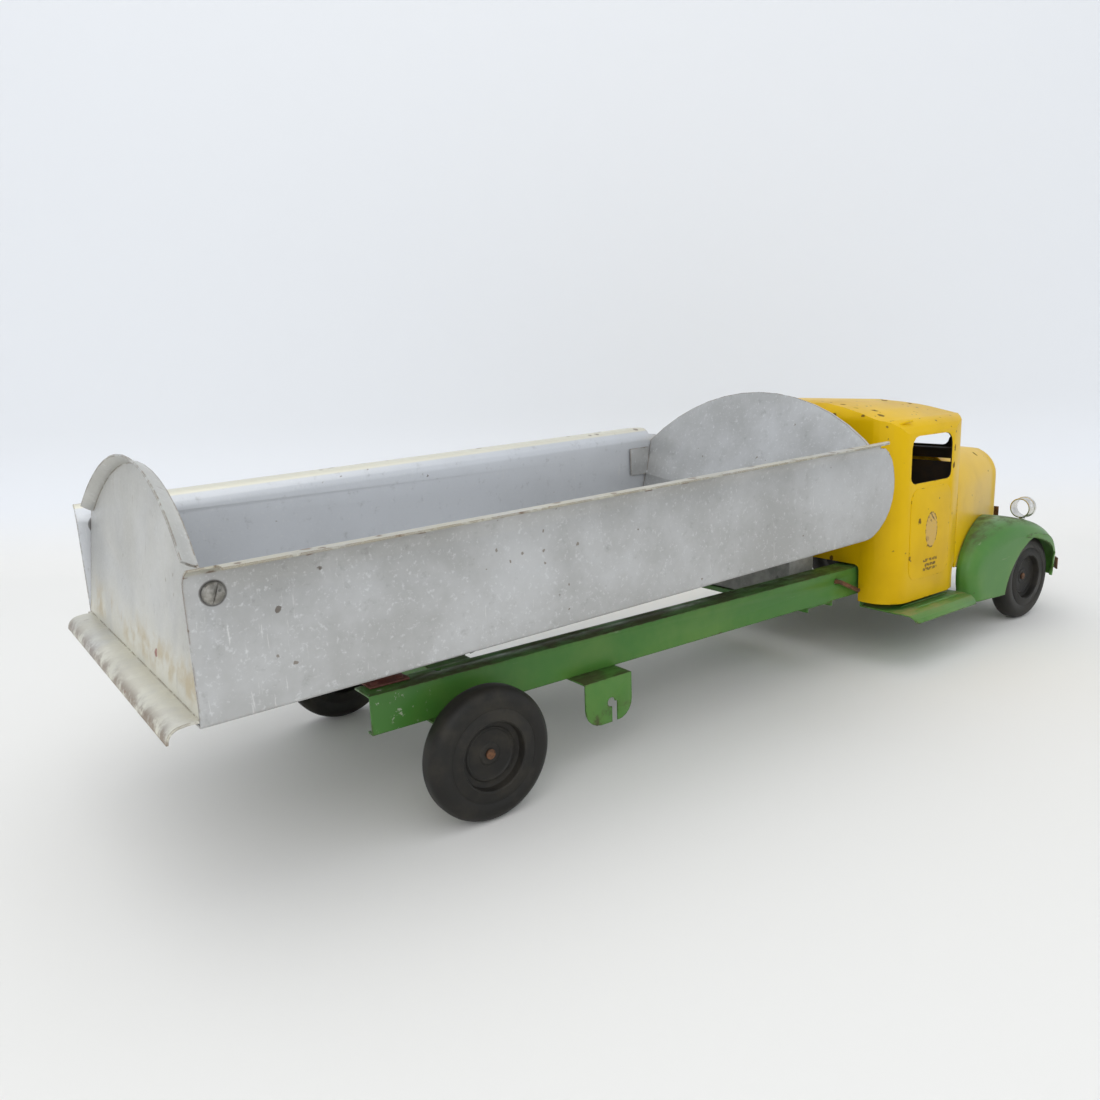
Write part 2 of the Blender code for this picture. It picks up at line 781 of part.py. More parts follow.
def makeHood():
    back = cabFront + gap
    nose = rearAxleX + hoodNose
    flatEnd = nose - hoodNoseRadius
    rows = []
    stations = [0, 0.04, 0.1, 0.2, 0.35, 0.5, 0.65, 0.8, 0.9, 1]
    for share in stations:
        x = back + (flatEnd - back) * share
        rows.append(hoodSection(x, hoodHalfWidth(share), hoodTopLine(share), hoodBottom(x)))
    bottom = hoodBottom(nose)
    for angle in (22, 44, 66, 90):
        turned = hoodNoseRadius * (1 - cos(radians(angle)))
        x = flatEnd + hoodNoseRadius * sin(radians(angle))
        rows.append(hoodSection(x, hoodNoseHalfWidth - turned, hoodNoseTop - turned, bottom))
    return addShell("hood_shell", gridShell("hood_shell", rows), bodySheet, yellowPaint)


makeHood()


def makeGrille():
    """Plate with upright slots that closes the hood's nose from inside."""
    ahead = hoodNoseRadius - 4 * mm
    front = rearAxleX + hoodNose - hoodNoseRadius + ahead
    turned = hoodNoseRadius - sqrt((hoodNoseRadius - bodySheet) ** 2 - ahead**2) + 2 * gap
    halfWidth = hoodNoseHalfWidth - turned
    bottom = railTop + gap + 1 * mm
    top = hoodNoseTop - hoodCrown - turned
    corner = hoodNoseHalfWidth * 0.4
    outline = [(-halfWidth, bottom), (halfWidth, bottom)]
    outline += arc((halfWidth - corner, top - corner), corner, 0, 90, 4)
    outline += arc((-halfWidth + corner, top - corner), corner, 90, 180, 4)
    grille = addPart("grille", prism("grille", outline, "X", front - bodySheet, front), chromeTrim)
    slots = 5
    pitch = (halfWidth * 2 - 12 * mm) / slots
    for i in range(slots):
        middle = (i - (slots - 1) / 2) * pitch
        slot = box(
            "slot",
            (front - 10 * mm, middle - pitch * 0.28, bottom + 6 * mm),
            (front + 10 * mm, middle + pitch * 0.28, top - corner * 0.5),
        )
        combine(grille, slot, "DIFFERENCE")


makeGrille()


def makeNoseTab(name, side):
    """Small ear that ties the hood's lower front corner to the fender."""
    ahead = hoodNoseRadius * 0.6
    x = rearAxleX + hoodNose - hoodNoseRadius + ahead
    turned = hoodNoseRadius - sqrt(hoodNoseRadius**2 - ahead**2)
    inner = side * (hoodNoseHalfWidth - turned + gap)
    tab = box(
        name,
        (x, min(inner, inner + side * 4 * mm), railTop + 6 * mm),
        (x + bodySheet, max(inner, inner + side * 4 * mm), railTop + 15 * mm),
    )
    addPart(name, tab, rustySteel)


for side, word in ((-1, "right"), (1, "left")):
    makeNoseTab("nose_tab_" + word, side)


def makeCabFloor():
    """Floor over the rails that turns up into the firewall behind the hood."""
    back = rearAxleX + cabBack + cabCorner
    front = cabFront - 4 * mm
    low = railTop + gap
    path = [(back, low), (front, low), (front, cowlTop - 8 * mm)]
    reach = cowlHalfWidth - bodySheet - 3 * mm
    addPart("cab_floor", prism("cab_floor", thicken(path, bodySheet), "Y", -reach, reach), greenPaint)


makeCabFloor()

# ---------------------------------------------------------------- fenders and running boards


def fenderRidge():
    """Crown line of a fender in side view, from its rear foot over the wheel to its front foot, as (x, z)."""
    x = frontAxleX
    rearFoot = (x - 96 * mm, 32 * mm)
    back = (x - 101 * mm, 60 * mm)
    top = (x - 39 * mm, 88 * mm)
    brow = (x + 30 * mm, 68 * mm)
    frontFoot = (x + 40 * mm, 31 * mm)
    line = bezier(rearFoot, (x - 99 * mm, 40 * mm), (x - 104 * mm, 50 * mm), back, 3)
    line += bezier(back, (x - 94 * mm, 80 * mm), (x - 61 * mm, 88 * mm), top, 5)[1:]
    line += bezier(top, (x - 14 * mm, 88 * mm), (x + 15 * mm, 80 * mm), brow, 5)[1:]
    line += bezier(brow, (x + 45 * mm, 56 * mm), (x + 47 * mm, 44 * mm), frontFoot, 5)[1:]
    return line


def archEdge(share):
    """Edge of the wheel opening in the fender's outer face, share 0 at the rear foot and 1 at the front."""
    reach = wheelRadius + 2 * mm + 14 * mm * (1 - share) ** 3
    angle = radians(187 - 194 * share)
    high = wheelRadius + 2 * mm
    return (frontAxleX + reach * cos(angle), wheelRadius + max(high * sin(angle), -6 * mm))


def fenderInner(x, z):
    """Half width at which a fender's inner edge lies: beside the cab, the hood or, low down, the rail."""
    flat = rearAxleX + hoodNose - hoodNoseRadius
    share = (x - cabFront - gap) / (flat - cabFront - gap)
    inner = hoodHalfWidth(min(max(share, 0), 1)) + gap + 0.4 * mm
    if share < 0:
        inner = cowlHalfWidth + gap + 0.8 * mm
    if z < railTop + 6 * mm:
        inner = max(inner, webOut + gap + 1.2 * mm)
    return inner


def makeFender():
    """Right fender: a crowned top that turns down into the outer face, down to the wheel opening."""
    ridge = fenderRidge()
    count = len(ridge) - 1
    rows = []
    for i, (x, z) in enumerate(ridge):
        before = Vector(ridge[max(i - 1, 0)])
        after = Vector(ridge[min(i + 1, count)])
        along = (after - before).normalized()
        inward = Vector((along.y, -along.x))
        if i in (0, count):
            inward = Vector((1 if i == 0 else -1, 0))
        inner = fenderInner(x, z)
        taper = max(i / count - 0.6, 0) / 0.4
        face = fenderFace - 6 * mm * taper
        drop = fenderRound * (1 - 0.6 * taper)
        start = max(face - drop, inner + (face - inner) * 0.4)
        row = [(inner, 0), ((inner + start) / 2, -0.6 * mm), (start, 0)]
        for turn in (30, 60, 90):
            out = start + (face - start) * sin(radians(turn))
            row.append((out, drop * (1 - cos(radians(turn)))))
        row = [(x + inward.x * fall, -y, z + inward.y * fall) for y, fall in row]
        edge = archEdge(i / count)
        last = row[-1]
        row.append(((last[0] + edge[0]) / 2, -face, (last[2] + edge[1]) / 2))
        row.append((edge[0], -face, edge[1]))
        rows.append(row)
    return gridShell("front_fender_right", rows)


def makeRunningBoard(name, side):
    """Step plate with a turned-down outer edge and an inner flange against the rail's web."""
    inner = webOut + gap + bodySheet
    droop = 7 * mm
    curve = [
        (boardHalfWidth - droop + droop * sin(radians(a)), boardHeight - droop * (1 - cos(radians(a))))
        for a in (0, 30, 60, 85)
    ]
    path = [(inner, boardHeight + 9 * mm), (inner, boardHeight)] + curve
    outline = [(side * y, z) for y, z in thicken(path, bodySheet)]
    mesh = prism(name, outline, "X", rearAxleX + boardBack, rearAxleX + boardFront)
    board = addPart(name, mesh, greenPaint)
    corner = 12 * mm
    x = rearAxleX + boardBack
    out = side * (boardHalfWidth + 5 * mm)
    low = side * (boardHalfWidth - corner)
    trim = [(x - 5 * mm, low), (x, low)]
    trim += [
        (x + corner * (1 - cos(radians(a))), low + side * (corner + 1 * mm) * sin(radians(a)))
        for a in (30, 60, 90)
    ]
    trim += [(x + corner, out), (x - 5 * mm, out)]
    combine(board, prism("corner", trim, "Z", 10 * mm, 70 * mm), "DIFFERENCE")


rightFender = makeFender()
addShell("front_fender_left", mirrored(rightFender, "front_fender_left"), bodySheet, greenPaint)
addShell("front_fender_right", rightFender, bodySheet, greenPaint)
for side, word in ((-1, "right"), (1, "left")):
    makeRunningBoard("running_board_" + word, side)

# ---------------------------------------------------------------- bumper and headlights


def makeBumper():
    x = rearAxleX + bumperAhead
    turned = 10 * mm
    path = [(x - turned, -bumperHalfLength), (x - 2 * mm, -bumperHalfLength + 7 * mm)]
    path += [(x, -bumperHalfLength + 16 * mm), (x, bumperHalfLength - 16 * mm)]
    path += [(x - 2 * mm, bumperHalfLength - 7 * mm), (x - turned, bumperHalfLength)]
    low = bumperMiddle - bumperHeight / 2
    high = bumperMiddle + bumperHeight / 2
    addPart("bumper", prism("bumper", thicken(path[::-1], bodySheet), "Z", low, high), rustySteel)


makeBumper()


def makeBumperArm(name, side):
    """Angle under the rail's foot that turns down behind the bumper."""
    front = rearAxleX + bumperAhead - gap
    top = railBottom - gap
    path = [(front - 40 * mm, top), (front, top), (front, bumperMiddle - bumperHeight * 0.3)]
    outline = thicken(path[::-1], frameSheet)
    ends = sorted((side * (webOut - 14 * mm), side * webOut))
    addPart(name, prism(name, outline, "Y", *ends), greenPaint)


for side, word in ((-1, "right"), (1, "left")):
    makeBumperArm("bumper_arm_" + word, side)


def makeHeadlight(name, side):
    """Open chromed shell, a short tube with a rolled front rim."""
    middle = (0, side * headlightOut, headlightZ)
    low = rearAxleX + headlightAhead - headlightLength / 2
    high = low + headlightLength
    shell = addPart(
        name, cylinder(name, headlightRadius - 0.5 * mm, "X", low, high, middle, 28), chromeTrim
    )
    rim = cylinder("rim", headlightRadius, "X", high - 2.4 * mm, high, middle, 28)
    combine(shell, rim, "UNION")
    bore = cylinder("bore", headlightRadius - 1.4 * mm, "X", low - 2 * mm, high + 2 * mm, middle, 28)
    combine(shell, bore, "DIFFERENCE")
    smooth(shell)


def ridgeHeight(x):
    """Height of the fender's crown line at x."""
    ridge = fenderRidge()
    for (xA, zA), (xB, zB) in zip(ridge, ridge[1:]):
        if xA <= x <= xB:
            return zA + (zB - zA) * (x - xA) / (xB - xA)
    return ridge[-1][1]


fenderTopAtLight = ridgeHeight(rearAxleX + headlightAhead) + 0.6 * mm
headlightZ = fenderTopAtLight + headlightRadius + 1.6 * mm


def makeHeadlightPost(name, side):
    """Rivet that holds the shell on the fender's crown."""
    place = (rearAxleX + headlightAhead, side * headlightOut, 0)
    low = fenderTopAtLight + gap
    high = headlightZ - headlightRadius + 0.5 * mm - gap
    addPart(name, cylinder(name, 2.4 * mm, "Z", low, high, place, 14), chromeTrim)


for side, word in ((-1, "right"), (1, "left")):
    makeHeadlight("headlight_" + word, side)
    makeHeadlightPost("headlight_post_" + word, side)

# ---------------------------------------------------------------- bed


bedPivot = bpy.data.objects.new("bed_pivot", None)
bedPivot.location = (hingeX, 0, hingeZ)
bedPivot.rotation_euler = (0, -bedTilt, 0)
truck.objects.link(bedPivot)

gatePivot = bpy.data.objects.new("gate_pivot", None)
gatePivot.parent = bedPivot
gatePivot.location = (gatePivotIn - hingeAhead, 0, gatePivotHeight + hingeBelow)
truck.objects.link(gatePivot)


def fromBed(mesh):
    """Moves a mesh from the bed's own axes (floor's rear edge) to the hinge's."""
    mesh.transform(Matrix.Translation((-hingeAhead, 0, hingeBelow)))
    return mesh


def sideSection():
    """Half section of the bed: floor, bend, side, flare and flange, as (y, z) of the outer surface."""
    inner = flareRadius - bedSheet
    flareLow = bedHeight - flareRadius
    path = [(0, 0), (bedHalf - floorBend, 0)]
    path += arc((bedHalf - floorBend, floorBend), floorBend, -60, 0, 2)
    path += [
        (bedHalf + flareRadius - flareRadius * cos(radians(a)), flareLow + flareRadius * sin(radians(a)))
        for a in (0, 22, 45, 67, 88)
    ]
    path += [(bedHalf + flangeWidth, bedHeight)]
    return path


def makePan():
    """Floor and both sides in one bent sheet, with round front ends and flanged top edges."""
    right = sideSection()
    path = [(-y, z) for y, z in reversed(right[1:])] + right[1:]
    outline = thicken(path, bedSheet)
    pan = addPart(
        "bed_pan", fromBed(prism("bed_pan", outline, "X", 0, sideNose)), silverPaint, parent=bedPivot
    )

    # Side view that is kept: the front ends are round, and the rear corners are eased
    high = bedHeight + 5 * mm
    top = bedHeight - 4 * mm
    nose = bezier(
        (bedLength - 6 * mm, -1 * mm),
        (sideNose - 8 * mm, 3 * mm),
        (sideNose + 1 * mm, 22 * mm),
        (sideNose, 37 * mm),
        7,
    )
    nose += bezier(
        (sideNose, 37 * mm), (sideNose - 1 * mm, 50 * mm), (sideNose - 6 * mm, top), (sideNose - 19 * mm, top), 5
    )[1:]
    keep = [(0, -1 * mm)] + nose + [(sideNose - 19 * mm, high), (2 * mm, high), (0.8 * mm, high - 10 * mm)]
    combine(pan, fromBed(prism("kept", keep, "Y", -0.2, 0.2)), "INTERSECT", bedPivot)

    # The floor stops short of the round ends
    slab = box(
        "floor_end",
        (bedLength, -bedHalf + floorBend + 1 * mm, -5 * mm),
        (sideNose + 5 * mm, bedHalf - floorBend - 1 * mm, bedHeight + 5 * mm),
    )
    combine(pan, fromBed(slab), "DIFFERENCE", bedPivot)

    for side in (-1, 1):
        # Ears: the flange is cut back beside the tailgate
        ear = box(
            "ear",
            (-5 * mm, min(side * (bedHalf + 7.2 * mm), side * 0.2), bedHeight - 12 * mm),
            (earLength, max(side * (bedHalf + 7.2 * mm), side * 0.2), bedHeight + 5 * mm),
        )
        combine(pan, fromBed(ear), "DIFFERENCE", bedPivot)
        # The flange's front end is round in plan
        end = sideNose - 19 * mm
        out = bedHalf + flangeWidth + 2 * mm
        radius = flangeWidth - 1 * mm
        start = end - radius
        trim = [(end + 2 * mm, side * (bedHalf + 1 * mm))]
        trim += [
            (start + radius * cos(radians(a)), side * (bedHalf + 1 * mm + radius * sin(radians(a))))
            for a in (0, 22, 45, 68, 90)
        ]
        trim += [(start, side * out), (end + 2 * mm, side * out)]
        flangeEnd = prism("flange_end", trim, "Z", bedHeight - 3.9 * mm, bedHeight + 5 * mm)
        combine(pan, fromBed(flangeEnd), "DIFFERENCE", bedPivot)

    holes = cylinder(
        "screw_holes", screwRadius + runningGap, "Y", -0.2, 0.2, (gatePivotIn, 0, gatePivotHeight), 16
    )
    combine(pan, fromBed(holes), "DIFFERENCE", bedPivot)
    smooth(pan, 25)


makePan()


def archOutline(halfWidth, shoulder, rise, low, steps=14):
    """Upright panel with an arched top, as (y, z)."""
    radius = (halfWidth**2 + rise**2) / (2 * rise)
    span = asin(halfWidth / radius) * 180 / pi
    top = arc((0, shoulder + rise - radius), radius, 90 - span, 90 + span, steps)
    return [(-halfWidth, low), (halfWidth, low)] + top


def makeBulkhead():
    """Arched front panel that leans forward, with a rolled rim and side tabs along the bed sides."""
    lean = Matrix.Rotation(bulkheadLean, 4, "Y")
    low = bedSheet + gap + bulkheadRim * sin(bulkheadLean)
    base = Matrix.Translation((bedLength - 4 * mm, 0, low))
    stretch = 1 / cos(bulkheadLean)
    half = bedHalf - bedSheet - gap - 0.4 * mm
    shoulder = (archShoulder - bedSheet) * stretch
    rise = archRise * stretch
    outline = archOutline(half, shoulder, rise, bulkheadRelief)
    outline = [(-half, bulkheadRelief), (-half + bulkheadRelief, 0), (half - bulkheadRelief, 0)] + outline[1:]
    tray = prism("bed_bulkhead", outline, "X", -bedSheet, bulkheadRim)
    tray.transform(base @ lean)
    bulkhead = addPart("bed_bulkhead", fromBed(tray), silverPaint, parent=bedPivot)

    inside = archOutline(half - bedSheet, shoulder - bedSheet * 0.6, rise - bedSheet * 0.4, -5 * mm)
    pocket = prism("pocket", inside, "X", 0, bulkheadRim + 5 * mm)
    pocket.transform(base @ lean)
    combine(bulkhead, fromBed(pocket), "DIFFERENCE", bedPivot)

    foot = box(
        "foot",
        (bedLength - 12 * mm, -half + bulkheadRelief + 3 * mm, bedSheet + gap),
        (bedLength - 4.2 * mm, half - bulkheadRelief - 3 * mm, bedSheet * 2 + gap),
    )
    combine(bulkhead, fromBed(foot), "UNION", bedPivot)
    for side in (-1, 1):
        low = archShoulder - 26 * mm
        tabFront = bedLength - 4 * mm + sin(bulkheadLean) / cos(bulkheadLean) * (archShoulder - 8 * mm)
        tab = box(
            "tab",
            (tabFront - tabLength - 4 * mm, min(side * half, side * (half - bedSheet)), low),
            (tabFront - 3.2 * mm, max(side * half, side * (half - bedSheet)), archShoulder - 4 * mm),
        )
        combine(bulkhead, fromBed(tab), "UNION", bedPivot)


makeBulkhead()

pad = box(
    "bed_rest_pad",
    (bedLength - 32 * mm, -44 * mm, -gap - padSheet),
    (bedLength + 20 * mm, 44 * mm, -gap),
)
addPart("bed_rest_pad", fromBed(pad), silverPaint, parent=bedPivot)


def makeHingeParts():
    """Stands on the rails' top flanges, brackets under the bed floor, and the rod through all four."""
    hinge = (hingeX, 0, hingeZ)
    foot = railTop + gap
    for side, word in ((-1, "right"), (1, "left")):
        inner = (standSpacing - lugSheet) / 2
        lug = [(hingeX - 9 * mm, foot), (hingeX + 9 * mm, foot)]
        lug += arc((hingeX, hingeZ), 5 * mm, 0, 180, 8)
        name = "hinge_stand_" + word
        mesh = prism(name, lug, "Y", *sorted((side * inner, side * (inner + lugSheet))))
        stand = addPart(name, mesh, redPrimer)
        base = box(
            "base",
            (hingeX - 11 * mm, min(side * inner, side * (flangeIn + 9 * mm)), foot),
            (hingeX + 11 * mm, max(side * inner, side * (flangeIn + 9 * mm)), foot + frameSheet),
        )
        combine(stand, base, "UNION")
        hole = cylinder("hole", hingeRodRadius + runningGap, "Y", -0.1, 0.1, hinge, 16)
        combine(stand, hole, "DIFFERENCE")

        bracketOut = inner - 1.2 * mm
        name = "bed_hinge_bracket_" + word
        top = hingeBelow - gap
        plate = [(11 * mm, top), (-11 * mm, top)] + arc((0, 0), 5.4 * mm, 180, 360, 8)
        mesh = prism(name, plate, "Y", *sorted((side * bracketOut, side * (bracketOut - lugSheet))))
        bracket = addPart(name, mesh, silverPaint, parent=bedPivot)
        flange = box(
            "flange",
            (-13 * mm, min(side * bracketOut, side * (bracketOut - 13 * mm)), top - 1.4 * mm),
            (13 * mm, max(side * bracketOut, side * (bracketOut - 13 * mm)), top),
        )
        combine(bracket, flange, "UNION", bedPivot)
        hole = cylinder("hole", hingeRodRadius + runningGap, "Y", -0.1, 0.1, (0, 0, 0), 16)
        combine(bracket, hole, "DIFFERENCE", bedPivot)
    reach = standSpacing / 2 + lugSheet + 2 * mm
    rod = addPart(
        "bed_hinge_rod",
        cylinder("bed_hinge_rod", hingeRodRadius, "Y", -reach, reach, hinge, 16),
        rustySteel,
        hinge,
    )
    smooth(rod)


makeHingeParts()

# ---------------------------------------------------------------- tailgate


def gateSpot(above):
    """How far the gate's rear face is ahead of the floor's rear edge at a height above the floor's underside."""
    return (above - lipHeight) * sin(gateLean) / cos(gateLean)


def makeTailgate():
    """Leaning plate between the bed sides, with a flange round its arched top, a lip below and pivot ears."""
    half = bedHalf - bedSheet - sideGap
    crease = lipHeight - bedSheet
    stretch = 1 / cos(gateLean)
    place = Matrix.Translation((0, 0, crease + 0.3 * mm)) @ Matrix.Rotation(gateLean, 4, "Y")
    archHalf = half - 7 * mm
    shoulder = (gateShoulder - crease) * stretch
    rise = gateRise * stretch
    radius = (archHalf**2 + rise**2) / (2 * rise)
    span = asin(archHalf / radius) * 180 / pi
    arch = arc((0, shoulder + rise - radius), radius, 90 - span, 90 + span, 16)
    outline = [(-half, 0), (half, 0), (half, shoulder - 6 * mm), (half - 3 * mm, shoulder - 1 * mm)]
    outline += arch + [(-half + 3 * mm, shoulder - 1 * mm), (-half, shoulder - 6 * mm)]
    plate = prism("tailgate", outline, "X", 0, bedSheet)
    plate.transform(place)
    pivot = Matrix.Translation((-gatePivotIn, 0, -gatePivotHeight))
    plate.transform(pivot)
    gate = addPart("tailgate", plate, silverPaint, parent=gatePivot)

    # Flange: flares up and back from the arch
    rows = []
    for reach, lift in ((0.7 * mm, 0), (-0.2 * mm, 0), (-2 * mm, 0.5 * mm), (-gateFlange, 3 * mm)):
        scale = (radius + lift - 0.3 * mm) / radius
        centre = shoulder + rise - radius
        rows.append([(reach, y * scale, centre + (z - centre) * scale) for y, z in arch])
    flange = gridShell("flange", rows)
    flange.transform(pivot @ place)
    flangePart = addCutter("tailgate_flange", flange, gatePivot)
    thick = flangePart.modifiers.new("Solidify", "SOLIDIFY")
    thick.thickness = bedSheet
    thick.offset = 0
    thick.use_even_offset = True
    union = gate.modifiers.new("Flange", "BOOLEAN")
    union.operation = "UNION"
    union.solver = "EXACT"
    union.object = flangePart

    # Lip: out over the floor's rear edge, then down and out again
    lip = [(-gap, lipHeight - bedSheet), (-4.5 * mm, lipHeight - bedSheet + 0.2 * mm)]
    lipEnd = -lipReach - gap + bedSheet
    lip += bezier(
        (-6.4 * mm, lipHeight - bedSheet), (-9.6 * mm, 3.1 * mm), (lipEnd, 1.2 * mm), (lipEnd, -2.4 * mm), 6
    )
    lipMesh = prism("lip", thicken(lip[::-1], bedSheet), "Y", -bedHalf, bedHalf - lipShort)
    lipMesh.transform(pivot)
    tongue = box(
        "tongue",
        (-1.5 * mm, -half + 0.5 * mm, lipHeight - bedSheet + 0.1 * mm),
        (bedSheet, half - 0.5 * mm, lipHeight - 0.1 * mm),
    )
    tongue.transform(pivot)
    combine(gate, tongue, "UNION", gatePivot)
    combine(gate, lipMesh, "UNION", gatePivot)

    for side in (-1, 1):
        # Ear: turned forward from the plate's edge, round the pivot
        ear = [(gateSpot(gatePivotHeight - 9 * mm) + 0.2 * mm, gatePivotHeight - 9 * mm)]
        ear += arc((gatePivotIn + 2 * mm, gatePivotHeight), 7 * mm, -80, 80, 8)
        ear += [(gateSpot(gatePivotHeight + 9 * mm) + 0.2 * mm, gatePivotHeight + 9 * mm)]
        out = half - 0.2 * mm
        mesh = prism("ear", ear, "Y", *sorted((side * out, side * (out - bedSheet))))
        mesh.transform(pivot)
        combine(gate, mesh, "UNION", gatePivot)
    holes = cylinder("pivot_holes", screwRadius + runningGap, "Y", -0.2, 0.2, (0, 0, 0), 16)
    combine(gate, holes, "DIFFERENCE", gatePivot)


makeTailgate()


def makeScrew():
    """Round-head screw with a slot, from outside the right side inwards, and its square nut."""
    outer = -bedHalf - 2 * gap
    head = bpy.data.meshes.new("tailgate_screw")
    profile = bmesh.new()
    length = bedSheet * 2 + sideGap + 6 * mm
    dome = [(0, screwHeadHeight)]
    dome += [(screwHeadRadius * sin(radians(a)), screwHeadHeight * cos(radians(a))) for a in (30, 60, 84)]
    dome += [(screwHeadRadius, 0), (screwRadius, 0), (screwRadius, -length), (0, -length)]
    verts = [profile.verts.new((radius, 0, height)) for radius, height in dome]
    for first, second in zip(verts, verts[1:]):
        profile.edges.new((first, second))
    bmesh.ops.spin(
        profile,
        geom=profile.verts[:] + profile.edges[:],
        axis=(0, 0, 1),
        cent=(0, 0, 0),
        angle=2 * pi,
        steps=20,
        use_merge=True,
    )
    bmesh.ops.remove_doubles(profile, verts=profile.verts, dist=0.00001)
    bmesh.ops.recalc_face_normals(profile, faces=profile.faces)
    profile.to_mesh(head)
    profile.free()
    head.transform(Matrix.Rotation(radians(90), 4, "X"))
    centre = Vector((gatePivotIn, outer, gatePivotHeight))
    head.transform(Matrix.Translation(centre))
    screw = addPart("tailgate_screw", fromBed(head), greySteel, parent=bedPivot)
    slot = box(
        "slot",
        (-0.55 * mm, -screwHeadHeight - 1 * mm, -screwHeadRadius - 1 * mm),
        (0.55 * mm, -screwHeadHeight * 0.35, screwHeadRadius + 1 * mm),
    )
    slot.transform(Matrix.Translation(centre) @ Matrix.Rotation(radians(-16), 4, "Y"))
    combine(screw, fromBed(slot), "DIFFERENCE", bedPivot)
    smooth(screw, 40)

    inner = -bedHalf + bedSheet * 2 + sideGap + gap * 2
    middle = (gatePivotIn, 0, gatePivotHeight)
    nut = cylinder("tailgate_nut", nutRadius, "Y", inner, inner + 3 * mm, middle, 6)
    part = addPart("tailgate_nut", fromBed(nut), greySteel, parent=bedPivot)
    bore = cylinder(
        "bore", screwRadius + gap, "Y", inner - 5 * mm, inner + 10 * mm, (gatePivotIn, 0, gatePivotHeight), 20
    )
    combine(part, fromBed(bore), "DIFFERENCE", bedPivot)


makeScrew()
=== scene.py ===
import json
from math import cos, pi, radians, sin

import bmesh
import bpy
from mathutils import Matrix, Vector
from mathutils.bvhtree import BVHTree


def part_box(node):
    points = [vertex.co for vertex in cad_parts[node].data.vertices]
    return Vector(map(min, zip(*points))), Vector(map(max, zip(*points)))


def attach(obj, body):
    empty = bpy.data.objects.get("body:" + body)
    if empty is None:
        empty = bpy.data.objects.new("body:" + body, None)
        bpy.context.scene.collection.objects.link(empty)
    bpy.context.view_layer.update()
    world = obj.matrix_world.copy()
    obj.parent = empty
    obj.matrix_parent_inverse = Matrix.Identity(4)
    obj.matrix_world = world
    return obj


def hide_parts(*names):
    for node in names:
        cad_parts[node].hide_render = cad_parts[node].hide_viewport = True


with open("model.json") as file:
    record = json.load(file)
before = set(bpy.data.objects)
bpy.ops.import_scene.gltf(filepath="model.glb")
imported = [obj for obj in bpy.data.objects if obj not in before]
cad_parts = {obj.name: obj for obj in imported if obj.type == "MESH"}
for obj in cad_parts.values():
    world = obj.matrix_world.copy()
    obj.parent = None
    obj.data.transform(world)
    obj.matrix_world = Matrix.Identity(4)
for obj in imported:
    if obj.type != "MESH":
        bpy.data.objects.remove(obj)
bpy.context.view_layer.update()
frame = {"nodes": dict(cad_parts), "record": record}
nodes = frame["nodes"]
mm = 0.001
bodyOf = {node: body for body, held in frame["record"]["behaviour"]["bodies"].items() for node in held}
rearAxle = sum(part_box("rear_axle"), Vector()) / 2
frontAxle = sum(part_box("front_axle"), Vector()) / 2
print("frame loaded:", len(nodes), "nodes")

# Camera: a wide lens, close to the truck's rear right corner
cameraSet = {
    "behind": 221.8 * mm,
    "aside": 455.9 * mm,
    "high": 226.8 * mm,
    "lens": 29.76,
    "heading": 53.96,
    "pitch": 11.89,
    "roll": -2.22,
}


def makeCamera():
    heading = radians(cameraSet["heading"])
    pitch = radians(cameraSet["pitch"])
    roll = radians(cameraSet["roll"])
    ahead = Vector((cos(pitch) * cos(heading), cos(pitch) * sin(heading), -sin(pitch)))
    right = Vector((sin(heading), -cos(heading), 0))
    up = right.cross(ahead)
    rolledRight = right * cos(roll) + up * sin(roll)
    rolledUp = up * cos(roll) - right * sin(roll)
    place = Matrix((rolledRight, rolledUp, -ahead)).transposed().to_4x4()
    place.translation = Vector((rearAxle.x - cameraSet["behind"], -cameraSet["aside"], cameraSet["high"]))
    lens = bpy.data.cameras.new("truckCamera")
    lens.lens = cameraSet["lens"]
    lens.sensor_width = 36
    lens.clip_start = 0.01
    camera = bpy.data.objects.new("truckCamera", lens)
    camera.matrix_world = place
    bpy.context.scene.collection.objects.link(camera)
    bpy.context.scene.camera = camera
    return place


cameraPlace = makeCamera()

# Node helpers


def addNode(tree, kind, inputs=None, **settings):
    item = tree.nodes.new(kind)
    for key, value in settings.items():
        setattr(item, key, value)
    for key, value in (inputs or {}).items():
        if isinstance(value, bpy.types.NodeSocket):
            tree.links.new(value, item.inputs[key])
        else:
            item.inputs[key].default_value = value
    return item


def calc(tree, operation, first, second=0.0, clamp=False):
    item = addNode(tree, "ShaderNodeMath", {0: first, 1: second}, operation=operation)
    item.use_clamp = clamp
    return item.outputs[0]


def ramp(tree, value, low, high, start=0.0, end=1.0):
    inputs = {"Value": value, "From Min": low, "From Max": high, "To Min": start, "To Max": end}
    return addNode(tree, "ShaderNodeMapRange", inputs, interpolation_type="SMOOTHSTEP").outputs[0]


def mixColour(tree, factor, first, second, blend="MIX"):
    item = addNode(tree, "ShaderNodeMix", None, data_type="RGBA", blend_type=blend)
    for index, value in ((0, factor), (6, first), (7, second)):
        if isinstance(value, bpy.types.NodeSocket):
            tree.links.new(value, item.inputs[index])
        else:
            item.inputs[index].default_value = value if index == 0 else (*value, 1)
    return item.outputs[2]


def stretched(tree, vector, scale, turn=(0, 0, 0)):
    return addNode(tree, "ShaderNodeMapping", {"Vector": vector, "Scale": scale, "Rotation": turn}).outputs[0]


def noise(tree, vector, scale, detail=3.0, roughness=0.55, offset=0.0):
    inputs = {"Vector": vector, "Scale": scale, "Detail": detail, "Roughness": roughness, "W": offset}
    return addNode(tree, "ShaderNodeTexNoise", inputs, noise_dimensions="4D").outputs[0]


